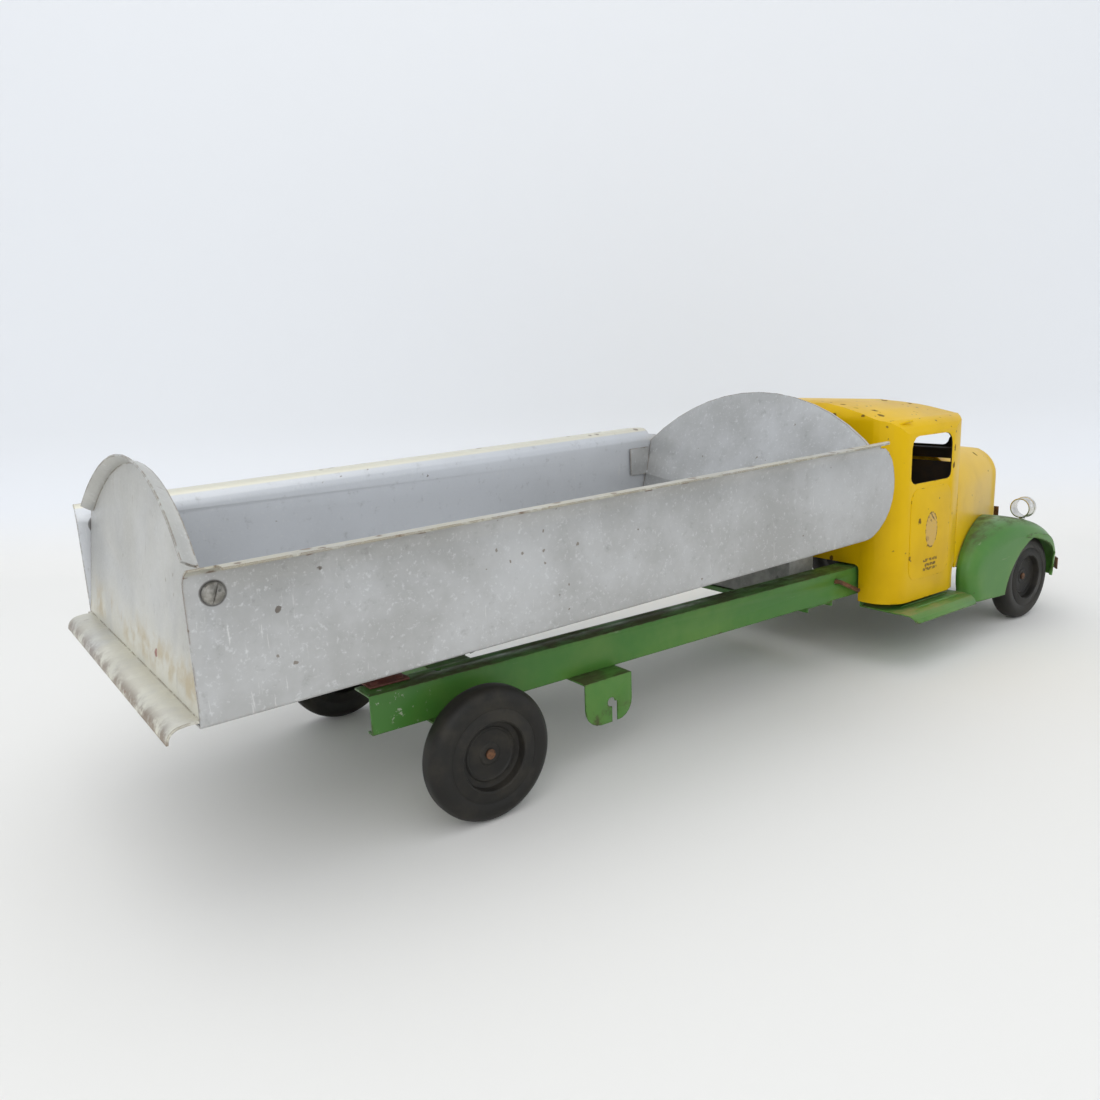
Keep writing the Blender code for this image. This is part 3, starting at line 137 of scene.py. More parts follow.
def newGroup(name, inputs, outputs):
    group = bpy.data.node_groups.new(name, "ShaderNodeTree")
    for label, kind, value in inputs:
        socket = group.interface.new_socket(label, in_out="INPUT", socket_type=kind)
        if value is not None:
            socket.default_value = value
    for label, kind in outputs:
        group.interface.new_socket(label, in_out="OUTPUT", socket_type=kind)
    return group, group.nodes.new("NodeGroupInput").outputs, group.nodes.new("NodeGroupOutput").inputs


def useGroup(tree, group, inputs):
    item = tree.nodes.new("ShaderNodeGroup")
    item.node_tree = group
    for key, value in inputs.items():
        if isinstance(value, bpy.types.NodeSocket):
            tree.links.new(value, item.inputs[key])
        else:
            item.inputs[key].default_value = value
    return item.outputs[0]


# Effects that several finishes share


# Mask of the edges where paint has rubbed off.
def makeEdgeWear():
    inputs = [
        ("Width", "NodeSocketFloat", 0.0012),
        ("Amount", "NodeSocketFloat", 0.5),
        ("Scale", "NodeSocketFloat", 150.0),
    ]
    group, given, result = newGroup("edgeWear", inputs, [("Mask", "NodeSocketFloat")])
    place = addNode(group, "ShaderNodeTexCoord").outputs["Object"]
    rounded = addNode(group, "ShaderNodeBevel", {"Radius": given["Width"]}, samples=4).outputs[0]
    plain = addNode(group, "ShaderNodeNewGeometry").outputs["Normal"]
    turn = addNode(
        group, "ShaderNodeVectorMath", {0: rounded, 1: plain}, operation="DOT_PRODUCT"
    ).outputs["Value"]
    edge = ramp(group, calc(group, "SUBTRACT", 1.0, turn), 0.004, 0.12)
    patches = noise(group, place, given["Scale"], 4.0, 0.65)
    lowest = calc(group, "SUBTRACT", 0.78, calc(group, "MULTIPLY", given["Amount"], 0.5))
    broken = addNode(
        group,
        "ShaderNodeMapRange",
        {"Value": patches, "From Min": lowest, "From Max": calc(group, "ADD", lowest, 0.09)},
        interpolation_type="SMOOTHSTEP",
    ).outputs[0]
    group.links.new(calc(group, "MULTIPLY", edge, broken), result["Mask"])
    return group


# Mask of small irregular spots, each cell of the pattern holding one or none.
def makeSpecks():
    inputs = [
        ("Vector", "NodeSocketVector", None),
        ("Scale", "NodeSocketFloat", 80.0),
        ("Size", "NodeSocketFloat", 0.2),
        ("Share", "NodeSocketFloat", 0.3),
    ]
    group, given, result = newGroup("specks", inputs, [("Mask", "NodeSocketFloat")])
    wobble = addNode(group, "ShaderNodeTexNoise", {"Vector": given["Vector"], "Scale": 420.0, "Detail": 2.0})
    shift = addNode(
        group, "ShaderNodeVectorMath", {0: wobble.outputs["Color"], 1: (0.5, 0.5, 0.5)}, operation="SUBTRACT"
    )
    shift = addNode(group, "ShaderNodeVectorMath", {0: shift.outputs[0], "Scale": 0.003}, operation="SCALE")
    moved = addNode(group, "ShaderNodeVectorMath", {0: given["Vector"], 1: shift.outputs[0]}, operation="ADD")
    cells = addNode(group, "ShaderNodeTexVoronoi", {"Vector": moved.outputs[0], "Scale": given["Scale"]})
    parts = addNode(group, "ShaderNodeSeparateColor", {0: cells.outputs["Color"]})
    kept = calc(group, "LESS_THAN", parts.outputs[0], given["Share"])
    radius = calc(group, "MULTIPLY", given["Size"], calc(group, "ADD", 0.3, parts.outputs[1]))
    near = calc(group, "SUBTRACT", 1.0, calc(group, "DIVIDE", cells.outputs["Distance"], radius))
    spot = ramp(group, near, 0.0, 0.35)
    group.links.new(calc(group, "MULTIPLY", spot, kept), result["Mask"])
    return group


# Mask of thin streaks; the vector is stretched along them.
def makeScratches():
    inputs = [
        ("Vector", "NodeSocketVector", None),
        ("Scale", "NodeSocketFloat", 60.0),
        ("Share", "NodeSocketFloat", 0.3),
    ]
    group, given, result = newGroup("scratches", inputs, [("Mask", "NodeSocketFloat")])
    fine = addNode(
        group,
        "ShaderNodeTexNoise",
        {"Vector": given["Vector"], "Scale": given["Scale"], "Detail": 5.0, "Roughness": 0.7},
    )
    level = calc(group, "SUBTRACT", 0.74, calc(group, "MULTIPLY", given["Share"], 0.3))
    mask = addNode(
        group,
        "ShaderNodeMapRange",
        {"Value": fine.outputs[0], "From Min": level, "From Max": calc(group, "ADD", level, 0.05)},
        interpolation_type="SMOOTHSTEP",
    )
    group.links.new(mask.outputs[0], result["Mask"])
    return group


# Height of the soft waves and the fine grain of old painted sheet.
def makeSheetDents():
    inputs = [
        ("Wave Scale", "NodeSocketFloat", 14.0),
        ("Grain Scale", "NodeSocketFloat", 900.0),
        ("Grain", "NodeSocketFloat", 0.08),
    ]
    group, given, result = newGroup("sheetDents", inputs, [("Height", "NodeSocketFloat")])
    place = addNode(group, "ShaderNodeTexCoord").outputs["Object"]
    wave = addNode(
        group, "ShaderNodeTexNoise", {"Vector": place, "Scale": given["Wave Scale"], "Detail": 2.0}
    ).outputs[0]
    grain = addNode(
        group, "ShaderNodeTexNoise", {"Vector": place, "Scale": given["Grain Scale"], "Detail": 2.0}
    ).outputs[0]
    group.links.new(calc(group, "ADD", wave, calc(group, "MULTIPLY", grain, given["Grain"])), result["Height"])
    return group


edgeWear = makeEdgeWear()
specks = makeSpecks()
scratches = makeScratches()
sheetDents = makeSheetDents()
print("shared effects made")


def startMaterial(name):
    material = bpy.data.materials.new(name)
    material.use_nodes = True
    tree = material.node_tree
    shader = tree.nodes["Principled BSDF"]
    place = addNode(tree, "ShaderNodeTexCoord").outputs["Object"]
    return material, tree, shader, place


def finishMaterial(tree, shader, colour, roughness, height=None, distance=0.0004, strength=0.5):
    tree.links.new(colour, shader.inputs["Base Color"])
    tree.links.new(roughness, shader.inputs["Roughness"])
    if height is not None:
        bump = addNode(tree, "ShaderNodeBump", {"Height": height, "Distance": distance, "Strength": strength})
        tree.links.new(bump.outputs[0], shader.inputs["Normal"])


# How much a face points up, from -1 to 1.
def facing(tree):
    normal = addNode(tree, "ShaderNodeNewGeometry").outputs["Normal"]
    return addNode(tree, "ShaderNodeSeparateXYZ", {0: normal}).outputs[2]


# Green paint: frame, fenders, running boards
greenSet = {
    "paint": (0.058, 0.185, 0.03),
    "faded": (0.1, 0.225, 0.042),
    "olive": (0.07, 0.066, 0.028),
    "boardOlive": (0.26, 0.25, 0.085),
    "chipped": (0.55, 0.55, 0.46),
    "rust": (0.055, 0.028, 0.014),
    "scuff": (0.3, 0.33, 0.22),
    "roughness": 0.34,
    "topWear": 0.9,
    "edgeWear": 0.62,
    "slotHigh": 40 * mm,
    "slotLow": 24 * mm,
    "chipStart": 8 * mm,
    "chipFull": 42 * mm,
}


def makeGreen(name="greenPaint", olive=greenSet["olive"], slots=False, chips=False):
    material, tree, shader, place = startMaterial(name)
    shader.inputs["Coat Weight"].default_value = 0.08
    shader.inputs["Coat Roughness"].default_value = 0.25
    shader.inputs["Specular IOR Level"].default_value = 0.3
    axes = addNode(tree, "ShaderNodeSeparateXYZ", {0: place}).outputs
    cloud = noise(tree, place, 22.0, 4.0, 0.6)
    colour = mixColour(tree, ramp(tree, cloud, 0.35, 0.7), greenSet["paint"], greenSet["faded"])
    rubbed = noise(tree, stretched(tree, place, (1, 2.2, 2.2)), 30.0, 6.0, 0.68, 3.0)
    upward = ramp(tree, facing(tree), 0.55, 0.95)
    worn = calc(
        tree,
        "MULTIPLY",
        upward,
        ramp(tree, rubbed, 0.62 - greenSet["topWear"] * 0.25, 0.7 - greenSet["topWear"] * 0.1),
    )
    colour = mixColour(tree, calc(tree, "MULTIPLY", worn, 0.85), colour, olive)
    spots = useGroup(tree, specks, {"Vector": place, "Scale": 75.0, "Size": 0.22, "Share": 0.2})
    colour = mixColour(tree, calc(tree, "MULTIPLY", spots, 0.8), colour, greenSet["rust"])
    edges = useGroup(tree, edgeWear, {"Width": 0.0016, "Amount": greenSet["edgeWear"], "Scale": 170.0})
    if slots:  # rust creeps out of the axle slots near the floor
        near = ramp(tree, axes[2], greenSet["slotHigh"], greenSet["slotLow"])
        creep = calc(tree, "MULTIPLY", near, ramp(tree, noise(tree, place, 120.0, 5.0, 0.7, 8.0), 0.48, 0.6))
        colour = mixColour(tree, calc(tree, "MULTIPLY", creep, 0.75), colour, greenSet["rust"])
    if chips:  # the rails' rear ends are chipped down to pale primer
        behind = ramp(tree, axes[0], rearAxle.x - greenSet["chipStart"], rearAxle.x - greenSet["chipFull"])
        bare = calc(tree, "MULTIPLY", behind, ramp(tree, noise(tree, place, 220.0, 5.0, 0.7, 4.0), 0.59, 0.64))
        colour = mixColour(tree, calc(tree, "MULTIPLY", bare, 0.65), colour, greenSet["chipped"])
    rusty = mixColour(tree, noise(tree, place, 260.0, 3.0), greenSet["olive"], greenSet["rust"])
    colour = mixColour(tree, calc(tree, "MULTIPLY", edges, 0.95), colour, rusty)
    lines = useGroup(
        tree,
        scratches,
        {"Vector": stretched(tree, place, (0.25, 2, 2), (0.2, 0.3, 0)), "Scale": 90.0, "Share": 0.25},
    )
    colour = mixColour(tree, calc(tree, "MULTIPLY", lines, 0.35), colour, greenSet["scuff"])
    roughness = calc(
        tree, "ADD", greenSet["roughness"], calc(tree, "MULTIPLY", calc(tree, "MAXIMUM", worn, edges), 0.35)
    )
    height = useGroup(tree, sheetDents, {"Wave Scale": 26.0, "Grain Scale": 700.0, "Grain": 0.06})
    finishMaterial(tree, shader, colour, roughness, height, 0.0006, 0.45)
    return material


# Yellow paint: cab and hood, with a worn badge on each door
yellowSet = {
    "paint": (0.72, 0.45, 0.001),
    "deep": (0.58, 0.34, 0.001),
    "rust": (0.075, 0.035, 0.015),
    "grime": (0.3, 0.2, 0.05),
    "roughness": 0.33,
}
badgeSet = {
    "ahead": 380.5 * mm,
    "high": 95.5 * mm,
    "halfWidth": 7.4 * mm,
    "halfHeight": 13 * mm,
    "tan": (0.55, 0.36, 0.13),
    "ink": (0.035, 0.025, 0.015),
    "bars": (73.5 * mm, 70.0 * mm, 66.8 * mm),
}


# A plain oval badge with hatched top and three worn bars below it: masks of its ink and of its fill.
def badgeMasks(tree, place):
    axes = addNode(tree, "ShaderNodeSeparateXYZ", {0: place}).outputs
    across = calc(
        tree, "DIVIDE", calc(tree, "SUBTRACT", axes[0], rearAxle.x + badgeSet["ahead"]), badgeSet["halfWidth"]
    )
    along = calc(tree, "DIVIDE", calc(tree, "SUBTRACT", axes[2], badgeSet["high"]), badgeSet["halfHeight"])
    onDoor = ramp(tree, calc(tree, "ABSOLUTE", axes[1]), 96.4 * mm, 96.7 * mm)
    square = calc(tree, "ADD", calc(tree, "MULTIPLY", across, across), calc(tree, "MULTIPLY", along, along))
    reach = calc(tree, "SQRT", square)
    fill = calc(tree, "MULTIPLY", ramp(tree, reach, 1.0, 0.96), onDoor)
    ring = calc(tree, "MULTIPLY", ramp(tree, reach, 0.9, 0.95), ramp(tree, reach, 1.04, 1.0))
    hatchWave = calc(
        tree,
        "SINE",
        calc(tree, "MULTIPLY", calc(tree, "ADD", across, calc(tree, "MULTIPLY", along, 1.6)), 11.0),
    )
    hatch = calc(tree, "MULTIPLY", ramp(tree, hatchWave, 0.1, 0.5), ramp(tree, along, 0.42, 0.5))
    hatch = calc(tree, "MULTIPLY", hatch, ramp(tree, reach, 0.98, 0.94))
    ink = calc(tree, "MAXIMUM", ring, hatch)
    for height, share in zip(badgeSet["bars"], (1.0, 0.8, 1.0)):
        near = calc(tree, "ABSOLUTE", calc(tree, "SUBTRACT", axes[2], height))
        bar = ramp(tree, near, 1.25 * mm, 0.9 * mm)
        inside = ramp(tree, calc(tree, "ABSOLUTE", across), share * 1.25, share * 1.15)
        ink = calc(tree, "MAXIMUM", ink, calc(tree, "MULTIPLY", bar, inside))
    rubbed = noise(tree, place, 420.0, 3.0, 0.7, 7.0)
    ink = calc(tree, "MULTIPLY", ink, ramp(tree, rubbed, 0.42, 0.54))
    return calc(tree, "MULTIPLY", ink, onDoor), calc(tree, "MULTIPLY", fill, ramp(tree, rubbed, 0.3, 0.45))


def makeYellow():
    material, tree, shader, place = startMaterial("yellowPaint")
    shader.inputs["Coat Weight"].default_value = 0.02
    shader.inputs["Coat Roughness"].default_value = 0.16
    shader.inputs["Specular IOR Level"].default_value = 0.14
    cloud = noise(tree, place, 14.0, 4.0, 0.6)
    colour = mixColour(tree, ramp(tree, cloud, 0.4, 0.75), yellowSet["paint"], yellowSet["deep"])
    grime = ramp(tree, noise(tree, place, 48.0, 6.0, 0.7, 2.0), 0.6, 0.78)
    colour = mixColour(tree, calc(tree, "MULTIPLY", grime, 0.3), colour, yellowSet["grime"])
    axes = addNode(tree, "ShaderNodeSeparateXYZ", {0: place}).outputs
    roofward = ramp(tree, axes[2], 150 * mm, 182 * mm)
    share = calc(tree, "ADD", 0.1, calc(tree, "MULTIPLY", roofward, 0.4))
    spots = useGroup(tree, specks, {"Vector": place, "Scale": 95.0, "Size": 0.24, "Share": share})
    colour = mixColour(tree, calc(tree, "MULTIPLY", spots, 0.85), colour, yellowSet["rust"])
    fine = useGroup(
        tree,
        specks,
        {"Vector": place, "Scale": 210.0, "Size": 0.25, "Share": calc(tree, "MULTIPLY", share, 0.6)},
    )
    colour = mixColour(tree, calc(tree, "MULTIPLY", fine, 0.7), colour, yellowSet["rust"])
    edges = useGroup(tree, edgeWear, {"Width": 0.0016, "Amount": 0.5, "Scale": 200.0})
    colour = mixColour(tree, calc(tree, "MULTIPLY", edges, 0.85), colour, yellowSet["rust"])
    ink, fill = badgeMasks(tree, place)
    colour = mixColour(tree, calc(tree, "MULTIPLY", fill, 0.75), colour, badgeSet["tan"])
    colour = mixColour(tree, calc(tree, "MULTIPLY", ink, 0.85), colour, badgeSet["ink"])
    roughness = calc(
        tree, "ADD", yellowSet["roughness"], calc(tree, "MULTIPLY", calc(tree, "MAXIMUM", edges, spots), 0.4)
    )
    height = useGroup(tree, sheetDents, {"Wave Scale": 20.0, "Grain Scale": 800.0, "Grain": 0.05})
    finishMaterial(tree, shader, colour, roughness, height, 0.0005, 0.4)
    return material


# Aluminium paint: the bed and the tailgate
silverSet = {
    "paint": (0.385, 0.385, 0.375),
    "light": (0.52, 0.525, 0.525),
    "dark": (0.17, 0.165, 0.15),
    "cream": (0.5, 0.47, 0.36),
    # pale cream: the gate's lower stain, and also the far flange's painted light
    "paleCreamAndFarLight": (0.74, 0.71, 0.58),
    # inner faces of the sides: painted light and reflection, lighter and bluish
    "inside": (0.66, 0.68, 0.71),
    "stain": (0.42, 0.3, 0.1),
    "fleck": (0.68, 0.69, 0.69),
    "streak": (0.68, 0.68, 0.66),
    "scratch": (0.8, 0.8, 0.78),
    # dark ring round the screw: painted shadow of its gap, with some dirt
    "screwShadeAndDirt": (0.05, 0.04, 0.03),
    "spot": (0.1, 0.075, 0.055),
    "fineSpot": (0.16, 0.12, 0.08),
    "edgeDark": (0.09, 0.06, 0.035),
    "edgeLight": (0.26, 0.17, 0.09),
    "edgeWear": 0.75,
    "rust": (0.13, 0.06, 0.025),
    "primer": (0.25, 0.04, 0.02),
    "metallic": 0.45,
    "roughness": 0.4,
}
bedSet = {
    "tilt": 1.44,
    "behindAxle": 138.5 * mm,
    "floorHigh": 91.5 * mm,
    "flangeStart": 110.5 * mm,
    "flangeFull": 112 * mm,
}
bedTilt = radians(bedSet["tilt"])
bedOrigin = (rearAxle.x - bedSet["behindAxle"], 0, bedSet["floorHigh"])
screwPlace = sum(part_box("tailgate_screw"), Vector()) / 2


def makeSilver(name, flanges=True, streaks=0.25, creamShare=0.0):
    material, tree, shader, place = startMaterial(name)
    shader.inputs["Metallic"].default_value = silverSet["metallic"]
    turned = addNode(
        tree, "ShaderNodeMapping", {
            "Vector": place, "Location": bedOrigin, "Rotation": (0, -bedTilt, 0)
        }, vector_type="TEXTURE"
    ).outputs[0]
    axes = addNode(tree, "ShaderNodeSeparateXYZ", {0: turned}).outputs
    cloud = noise(tree, turned, 16.0, 5.0, 0.62)
    colour = mixColour(tree, ramp(tree, cloud, 0.35, 0.68), silverSet["paint"], silverSet["light"])
    if flanges:  # the sides' inner faces are painted lighter and bluish: painted light and a painted reflection of the pale room
        normal = addNode(tree, "ShaderNodeNewGeometry").outputs["Normal"]
        sideways = addNode(tree, "ShaderNodeSeparateXYZ", {0: normal}).outputs[1]
        inner = ramp(tree, calc(tree, "MULTIPLY", axes[1], sideways), -40 * mm, -80 * mm)
        colour = mixColour(tree, calc(tree, "MULTIPLY", inner, 0.75), colour, silverSet["inside"])
    flecks = noise(tree, turned, 420.0, 6.0, 0.75, 1.0)
    colour = mixColour(
        tree, calc(tree, "MULTIPLY", ramp(tree, flecks, 0.54, 0.64), 0.5), colour, silverSet["fleck"]
    )
    dull = ramp(tree, noise(tree, turned, 130.0, 6.0, 0.72, 4.0), 0.55, 0.75)
    colour = mixColour(tree, calc(tree, "MULTIPLY", dull, 0.4), colour, silverSet["dark"])
    upright = useGroup(
        tree,
        scratches,
        {"Vector": stretched(tree, turned, (2.4, 2.4, 0.2), (0, 0.09, 0)), "Scale": 110.0, "Share": streaks},
    )
    colour = mixColour(tree, calc(tree, "MULTIPLY", upright, 0.55), colour, silverSet["streak"])
    drips = useGroup(
        tree,
        scratches,
        {
            "Vector": stretched(tree, turned, (2.0, 2.0, 0.25), (0.05, 0, 0)),
            "Scale": 45.0,
            "Share": streaks * 0.5,
        },
    )
    colour = mixColour(tree, calc(tree, "MULTIPLY", drips, 0.45), colour, silverSet["rust"])
    if flanges:  # long light scratches beside the gate
        rubbed = useGroup(
            tree,
            scratches,
            {"Vector": stretched(tree, turned, (2.6, 2.6, 0.16), (0, -0.3, 0)), "Scale": 240.0, "Share": 0.42},
        )
        rubbed = calc(tree, "MULTIPLY", rubbed, ramp(tree, axes[0], 80 * mm, 15 * mm))
        colour = mixColour(tree, calc(tree, "MULTIPLY", rubbed, 0.45), colour, silverSet["scratch"])
        # dark ring round the screw head: painted shadow of the gap under the head, with some dirt
        level = addNode(tree, "ShaderNodeSeparateXYZ", {0: place}).outputs
        acrossScrew = calc(tree, "SUBTRACT", level[0], screwPlace.x)
        upScrew = calc(tree, "SUBTRACT", level[2], screwPlace.z)
        squares = calc(
            tree,
            "ADD",
            calc(tree, "MULTIPLY", acrossScrew, acrossScrew),
            calc(tree, "MULTIPLY", upScrew, upScrew),
        )
        ring = ramp(tree, calc(tree, "SQRT", squares), 5.6 * mm, 5.0 * mm)
        colour = mixColour(tree, calc(tree, "MULTIPLY", ring, 0.7), colour, silverSet["screwShadeAndDirt"])
    spots = useGroup(tree, specks, {"Vector": turned, "Scale": 58.0, "Size": 0.09, "Share": 0.16})
    colour = mixColour(tree, calc(tree, "MULTIPLY", spots, 0.8), colour, silverSet["spot"])
    fine = useGroup(tree, specks, {"Vector": turned, "Scale": 150.0, "Size": 0.14, "Share": 0.14})
    colour = mixColour(tree, calc(tree, "MULTIPLY", fine, 0.7), colour, silverSet["fineSpot"])
    cream = creamShare
    if flanges:
        onFlange = ramp(tree, calc(tree, "ABSOLUTE", axes[1]), bedSet["flangeStart"], bedSet["flangeFull"])
        farSide = ramp(tree, axes[1], 0.0, 50 * mm)
        cream = calc(
            tree,
            "MULTIPLY",
            onFlange,
            ramp(tree, noise(tree, turned, 34.0, 4.0, 0.6, 9.0), 0.3, 0.6, 0.3, 0.75),
        )
    elif creamShare:
        low = ramp(tree, axes[2], 40 * mm, 0.0, 0.3, 1.0)
        cream = calc(
            tree,
            "MULTIPLY",
            low,
            ramp(tree, noise(tree, turned, 30.0, 4.0, 0.6, 9.0), 0.3, 0.6, creamShare * 0.5, creamShare),
        )
    if flanges:
        # the far flange is painted mostly cream and lighter than the near one: painted light on its lit face
        cream = calc(
            tree, "MAXIMUM", cream, calc(tree, "MULTIPLY", calc(tree, "MULTIPLY", farSide, onFlange), 0.85)
        )
        colour = mixColour(
            tree, cream, colour, mixColour(tree, farSide, silverSet["cream"], silverSet["paleCreamAndFarLight"])
        )
    elif creamShare:
        colour = mixColour(tree, cream, colour, silverSet["paleCreamAndFarLight"])
        runs = useGroup(
            tree, scratches, {"Vector": stretched(tree, turned, (1, 3, 0.3)), "Scale": 60.0, "Share": 0.3}
        )
        colour = mixColour(tree, calc(tree, "MULTIPLY", runs, 0.35), colour, silverSet["rust"])
        crease = calc(
            tree, "MULTIPLY", ramp(tree, axes[2], 4 * mm, 11 * mm), ramp(tree, axes[2], 30 * mm, 14 * mm)
        )
        crease = calc(
            tree, "MULTIPLY", crease, ramp(tree, noise(tree, turned, 42.0, 4.0, 0.65, 11.0), 0.45, 0.62)
        )
        colour = mixColour(tree, calc(tree, "MULTIPLY", crease, 0.55), colour, silverSet["stain"])
        red = useGroup(tree, specks, {"Vector": turned, "Scale": 62.0, "Size": 0.2, "Share": 0.09})
        colour = mixColour(tree, calc(tree, "MULTIPLY", red, 0.85), colour, silverSet["primer"])
        lip = calc(
            tree,
            "MULTIPLY",
            ramp(tree, axes[2], 5 * mm, 0.0),
            ramp(tree, noise(tree, turned, 70.0, 5.0, 0.7, 13.0), 0.4, 0.55),
        )
        colour = mixColour(tree, calc(tree, "MULTIPLY", lip, 0.7), colour, silverSet["rust"])
    if flanges:
        chipShare = calc(tree, "MULTIPLY", onFlange, ramp(tree, farSide, 0.0, 1.0, 0.8, 0.3))
        chips = useGroup(tree, specks, {"Vector": turned, "Scale": 120.0, "Size": 0.34, "Share": chipShare})
        colour = mixColour(tree, calc(tree, "MULTIPLY", chips, 0.7), colour, silverSet["rust"])
    edges = useGroup(tree, edgeWear, {"Width": 0.0012, "Amount": silverSet["edgeWear"], "Scale": 150.0})
    brown = mixColour(
        tree, noise(tree, turned, 240.0, 3.0, 0.6, 5.0), silverSet["edgeDark"], silverSet["edgeLight"]
    )
    colour = mixColour(tree, calc(tree, "MULTIPLY", edges, 0.85), colour, brown)
    spread = ramp(tree, flecks, 0.3, 0.7, -0.08, 0.1)
    roughness = calc(
        tree, "ADD", silverSet["roughness"], calc(tree, "ADD", spread, calc(tree, "MULTIPLY", edges, 0.3))
    )
    height = useGroup(tree, sheetDents, {"Wave Scale": 12.0, "Grain Scale": 650.0, "Grain": 0.1})
    finishMaterial(tree, shader, colour, roughness, height, 0.0008, 0.4)
    return material


# Bare and plated metal, primer, rubber


def makeBare(name, first, second, metallic, roughness, scale=160.0, distance=0.0003):
    material, tree, shader, place = startMaterial(name)
    shader.inputs["Metallic"].default_value = metallic
    patches = noise(tree, place, scale, 6.0, 0.7)
    colour = mixColour(tree, ramp(tree, patches, 0.38, 0.62), first, second)
    spots = useGroup(tree, specks, {"Vector": place, "Scale": scale * 1.6, "Size": 0.3, "Share": 0.25})
    colour = mixColour(tree, calc(tree, "MULTIPLY", spots, 0.6), colour, [c * 0.35 for c in first])
    spread = ramp(tree, patches, 0.3, 0.7, roughness - 0.07, roughness + 0.12)
    height = useGroup(tree, sheetDents, {"Wave Scale": 90.0, "Grain Scale": 1300.0, "Grain": 0.35})
    finishMaterial(tree, shader, colour, spread, height, distance, 0.5)
    return material


rubberSet = {
    "face": (0.015, 0.014, 0.012),
    "dusty": (0.034, 0.03, 0.023),
    "chip": (0.6, 0.6, 0.58),
    "smudge": (0.09, 0.07, 0.05),
    "roughness": 0.47,
}


def makeRubber():
    material, tree, shader, place = startMaterial("agedRubber")
    shader.inputs["Specular IOR Level"].default_value = 0.25
    cloud = noise(tree, place, 60.0, 5.0, 0.65)
    colour = mixColour(tree, ramp(tree, cloud, 0.4, 0.7), rubberSet["face"], rubberSet["dusty"])
    smudge = ramp(tree, noise(tree, place, 28.0, 4.0, 0.6, 6.0), 0.62, 0.74)
    colour = mixColour(tree, calc(tree, "MULTIPLY", smudge, 0.22), colour, rubberSet["smudge"])
    chips = useGroup(
        tree, specks, {"Vector": stretched(tree, place, (1, 1, 0.5)), "Scale": 110.0, "Size": 0.1, "Share": 0.1}
    )
    colour = mixColour(tree, calc(tree, "MULTIPLY", chips, 0.8), colour, rubberSet["chip"])
    roughness = ramp(tree, cloud, 0.3, 0.7, rubberSet["roughness"] - 0.06, rubberSet["roughness"] + 0.12)
    height = useGroup(tree, sheetDents, {"Wave Scale": 60.0, "Grain Scale": 1600.0, "Grain": 0.25})
    finishMaterial(tree, shader, colour, roughness, height, 0.0003, 0.35)
    return material


finishes = {
    "green": makeGreen(),
    "railGreen": makeGreen("railGreen", chips=True),
    "hangerGreen": makeGreen("hangerGreen", slots=True),
    "boardGreen": makeGreen("boardGreen", olive=greenSet["boardOlive"]),
    "yellow": makeYellow(),
    "silverSides": makeSilver("silverSides"),
    "silverFront": makeSilver("silverFront", flanges=False, streaks=0.2),
    "silverGate": makeSilver("silverGate", flanges=False, streaks=0.22, creamShare=0.75),
    "grey": makeBare("greyPaint", (0.2, 0.2, 0.19), (0.33, 0.325, 0.3), 0.2, 0.45, 60.0),
    "steel": makeBare("dullSteel", (0.2, 0.19, 0.17), (0.36, 0.35, 0.32), 0.85, 0.38, 220.0),
    "rusty": makeBare("rustySteel", (0.06, 0.03, 0.016), (0.2, 0.09, 0.04), 0.25, 0.68, 200.0, 0.0006),
    # near-black painted shade for the enclosed faces of the cab and hood and for the cab floor
    "paintedShade": makeBare("paintedShadeInside", (0.009, 0.006, 0.004), (0.03, 0.018, 0.01), 0.0, 0.75, 70.0),
    "primer": makeBare("redPrimer", (0.13, 0.035, 0.025), (0.2, 0.08, 0.05), 0.0, 0.6, 120.0),
    "chrome": makeBare("oldChrome", (0.62, 0.6, 0.55), (0.8, 0.79, 0.76), 1.0, 0.2, 140.0, 0.0002),
    "rubber": makeRubber(),
}
print("finishes made:", len(finishes))

# Mesh helpers


# Gives the second finish, a near-black painted shade, to the faces that look at another part of the same shell.
def markInside(mesh, reach=0.26):
    shape = bmesh.new()
    shape.from_mesh(mesh)
    tree = BVHTree.FromBMesh(shape)
    for face in shape.faces:
        start = face.calc_center_median() + face.normal * 0.0004
        hit = tree.ray_cast(start, face.normal, reach)[0]
        face.material_index = 1 if hit is not None else 0
    shape.to_mesh(mesh)
    shape.free()


# Makes the mesh a piece of the truck that rides on a body.
def finishPiece(name, mesh, material, body, replaced=(), angle=32, inside=None):
    piece = bpy.data.objects.new(name, mesh)
    mesh.name = name
    mesh.materials.clear()
    mesh.materials.append(material)
    if inside is not None:
        mesh.materials.append(inside)
        markInside(mesh)
    mesh.shade_smooth()
    mesh.set_sharp_from_angle(angle=radians(angle))
    bpy.context.scene.collection.objects.link(piece)
    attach(piece, body)
    for node in replaced:
        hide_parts(node)
    return piece


# The mesh with modifiers applied: each is its kind and its settings.
def applied(name, mesh, modifiers):
    source = bpy.data.objects.new(name, mesh)
    bpy.context.scene.collection.objects.link(source)
    for kind, settings in modifiers:
        modifier = source.modifiers.new(kind, kind)
        for key, value in settings.items():
            setattr(modifier, key, value)
    bpy.context.view_layer.update()
    graph = bpy.context.evaluated_depsgraph_get()
    result = bpy.data.meshes.new_from_object(source.evaluated_get(graph))
    bpy.data.objects.remove(source, do_unlink=True)
    return result


# A node's mesh, with its loose triangles joined into whole faces.
def softCopy(node):
    mesh = nodes[node].data.copy()
    if mesh.attributes.get("custom_normal"):
        mesh.attributes.remove(mesh.attributes["custom_normal"])
    shape = bmesh.new()
    shape.from_mesh(mesh)
    bmesh.ops.remove_doubles(shape, verts=shape.verts, dist=0.000004)
    bmesh.ops.dissolve_limit(shape, angle_limit=radians(0.5), verts=shape.verts, edges=shape.edges)
    shape.to_mesh(mesh)
    shape.free()
    return mesh


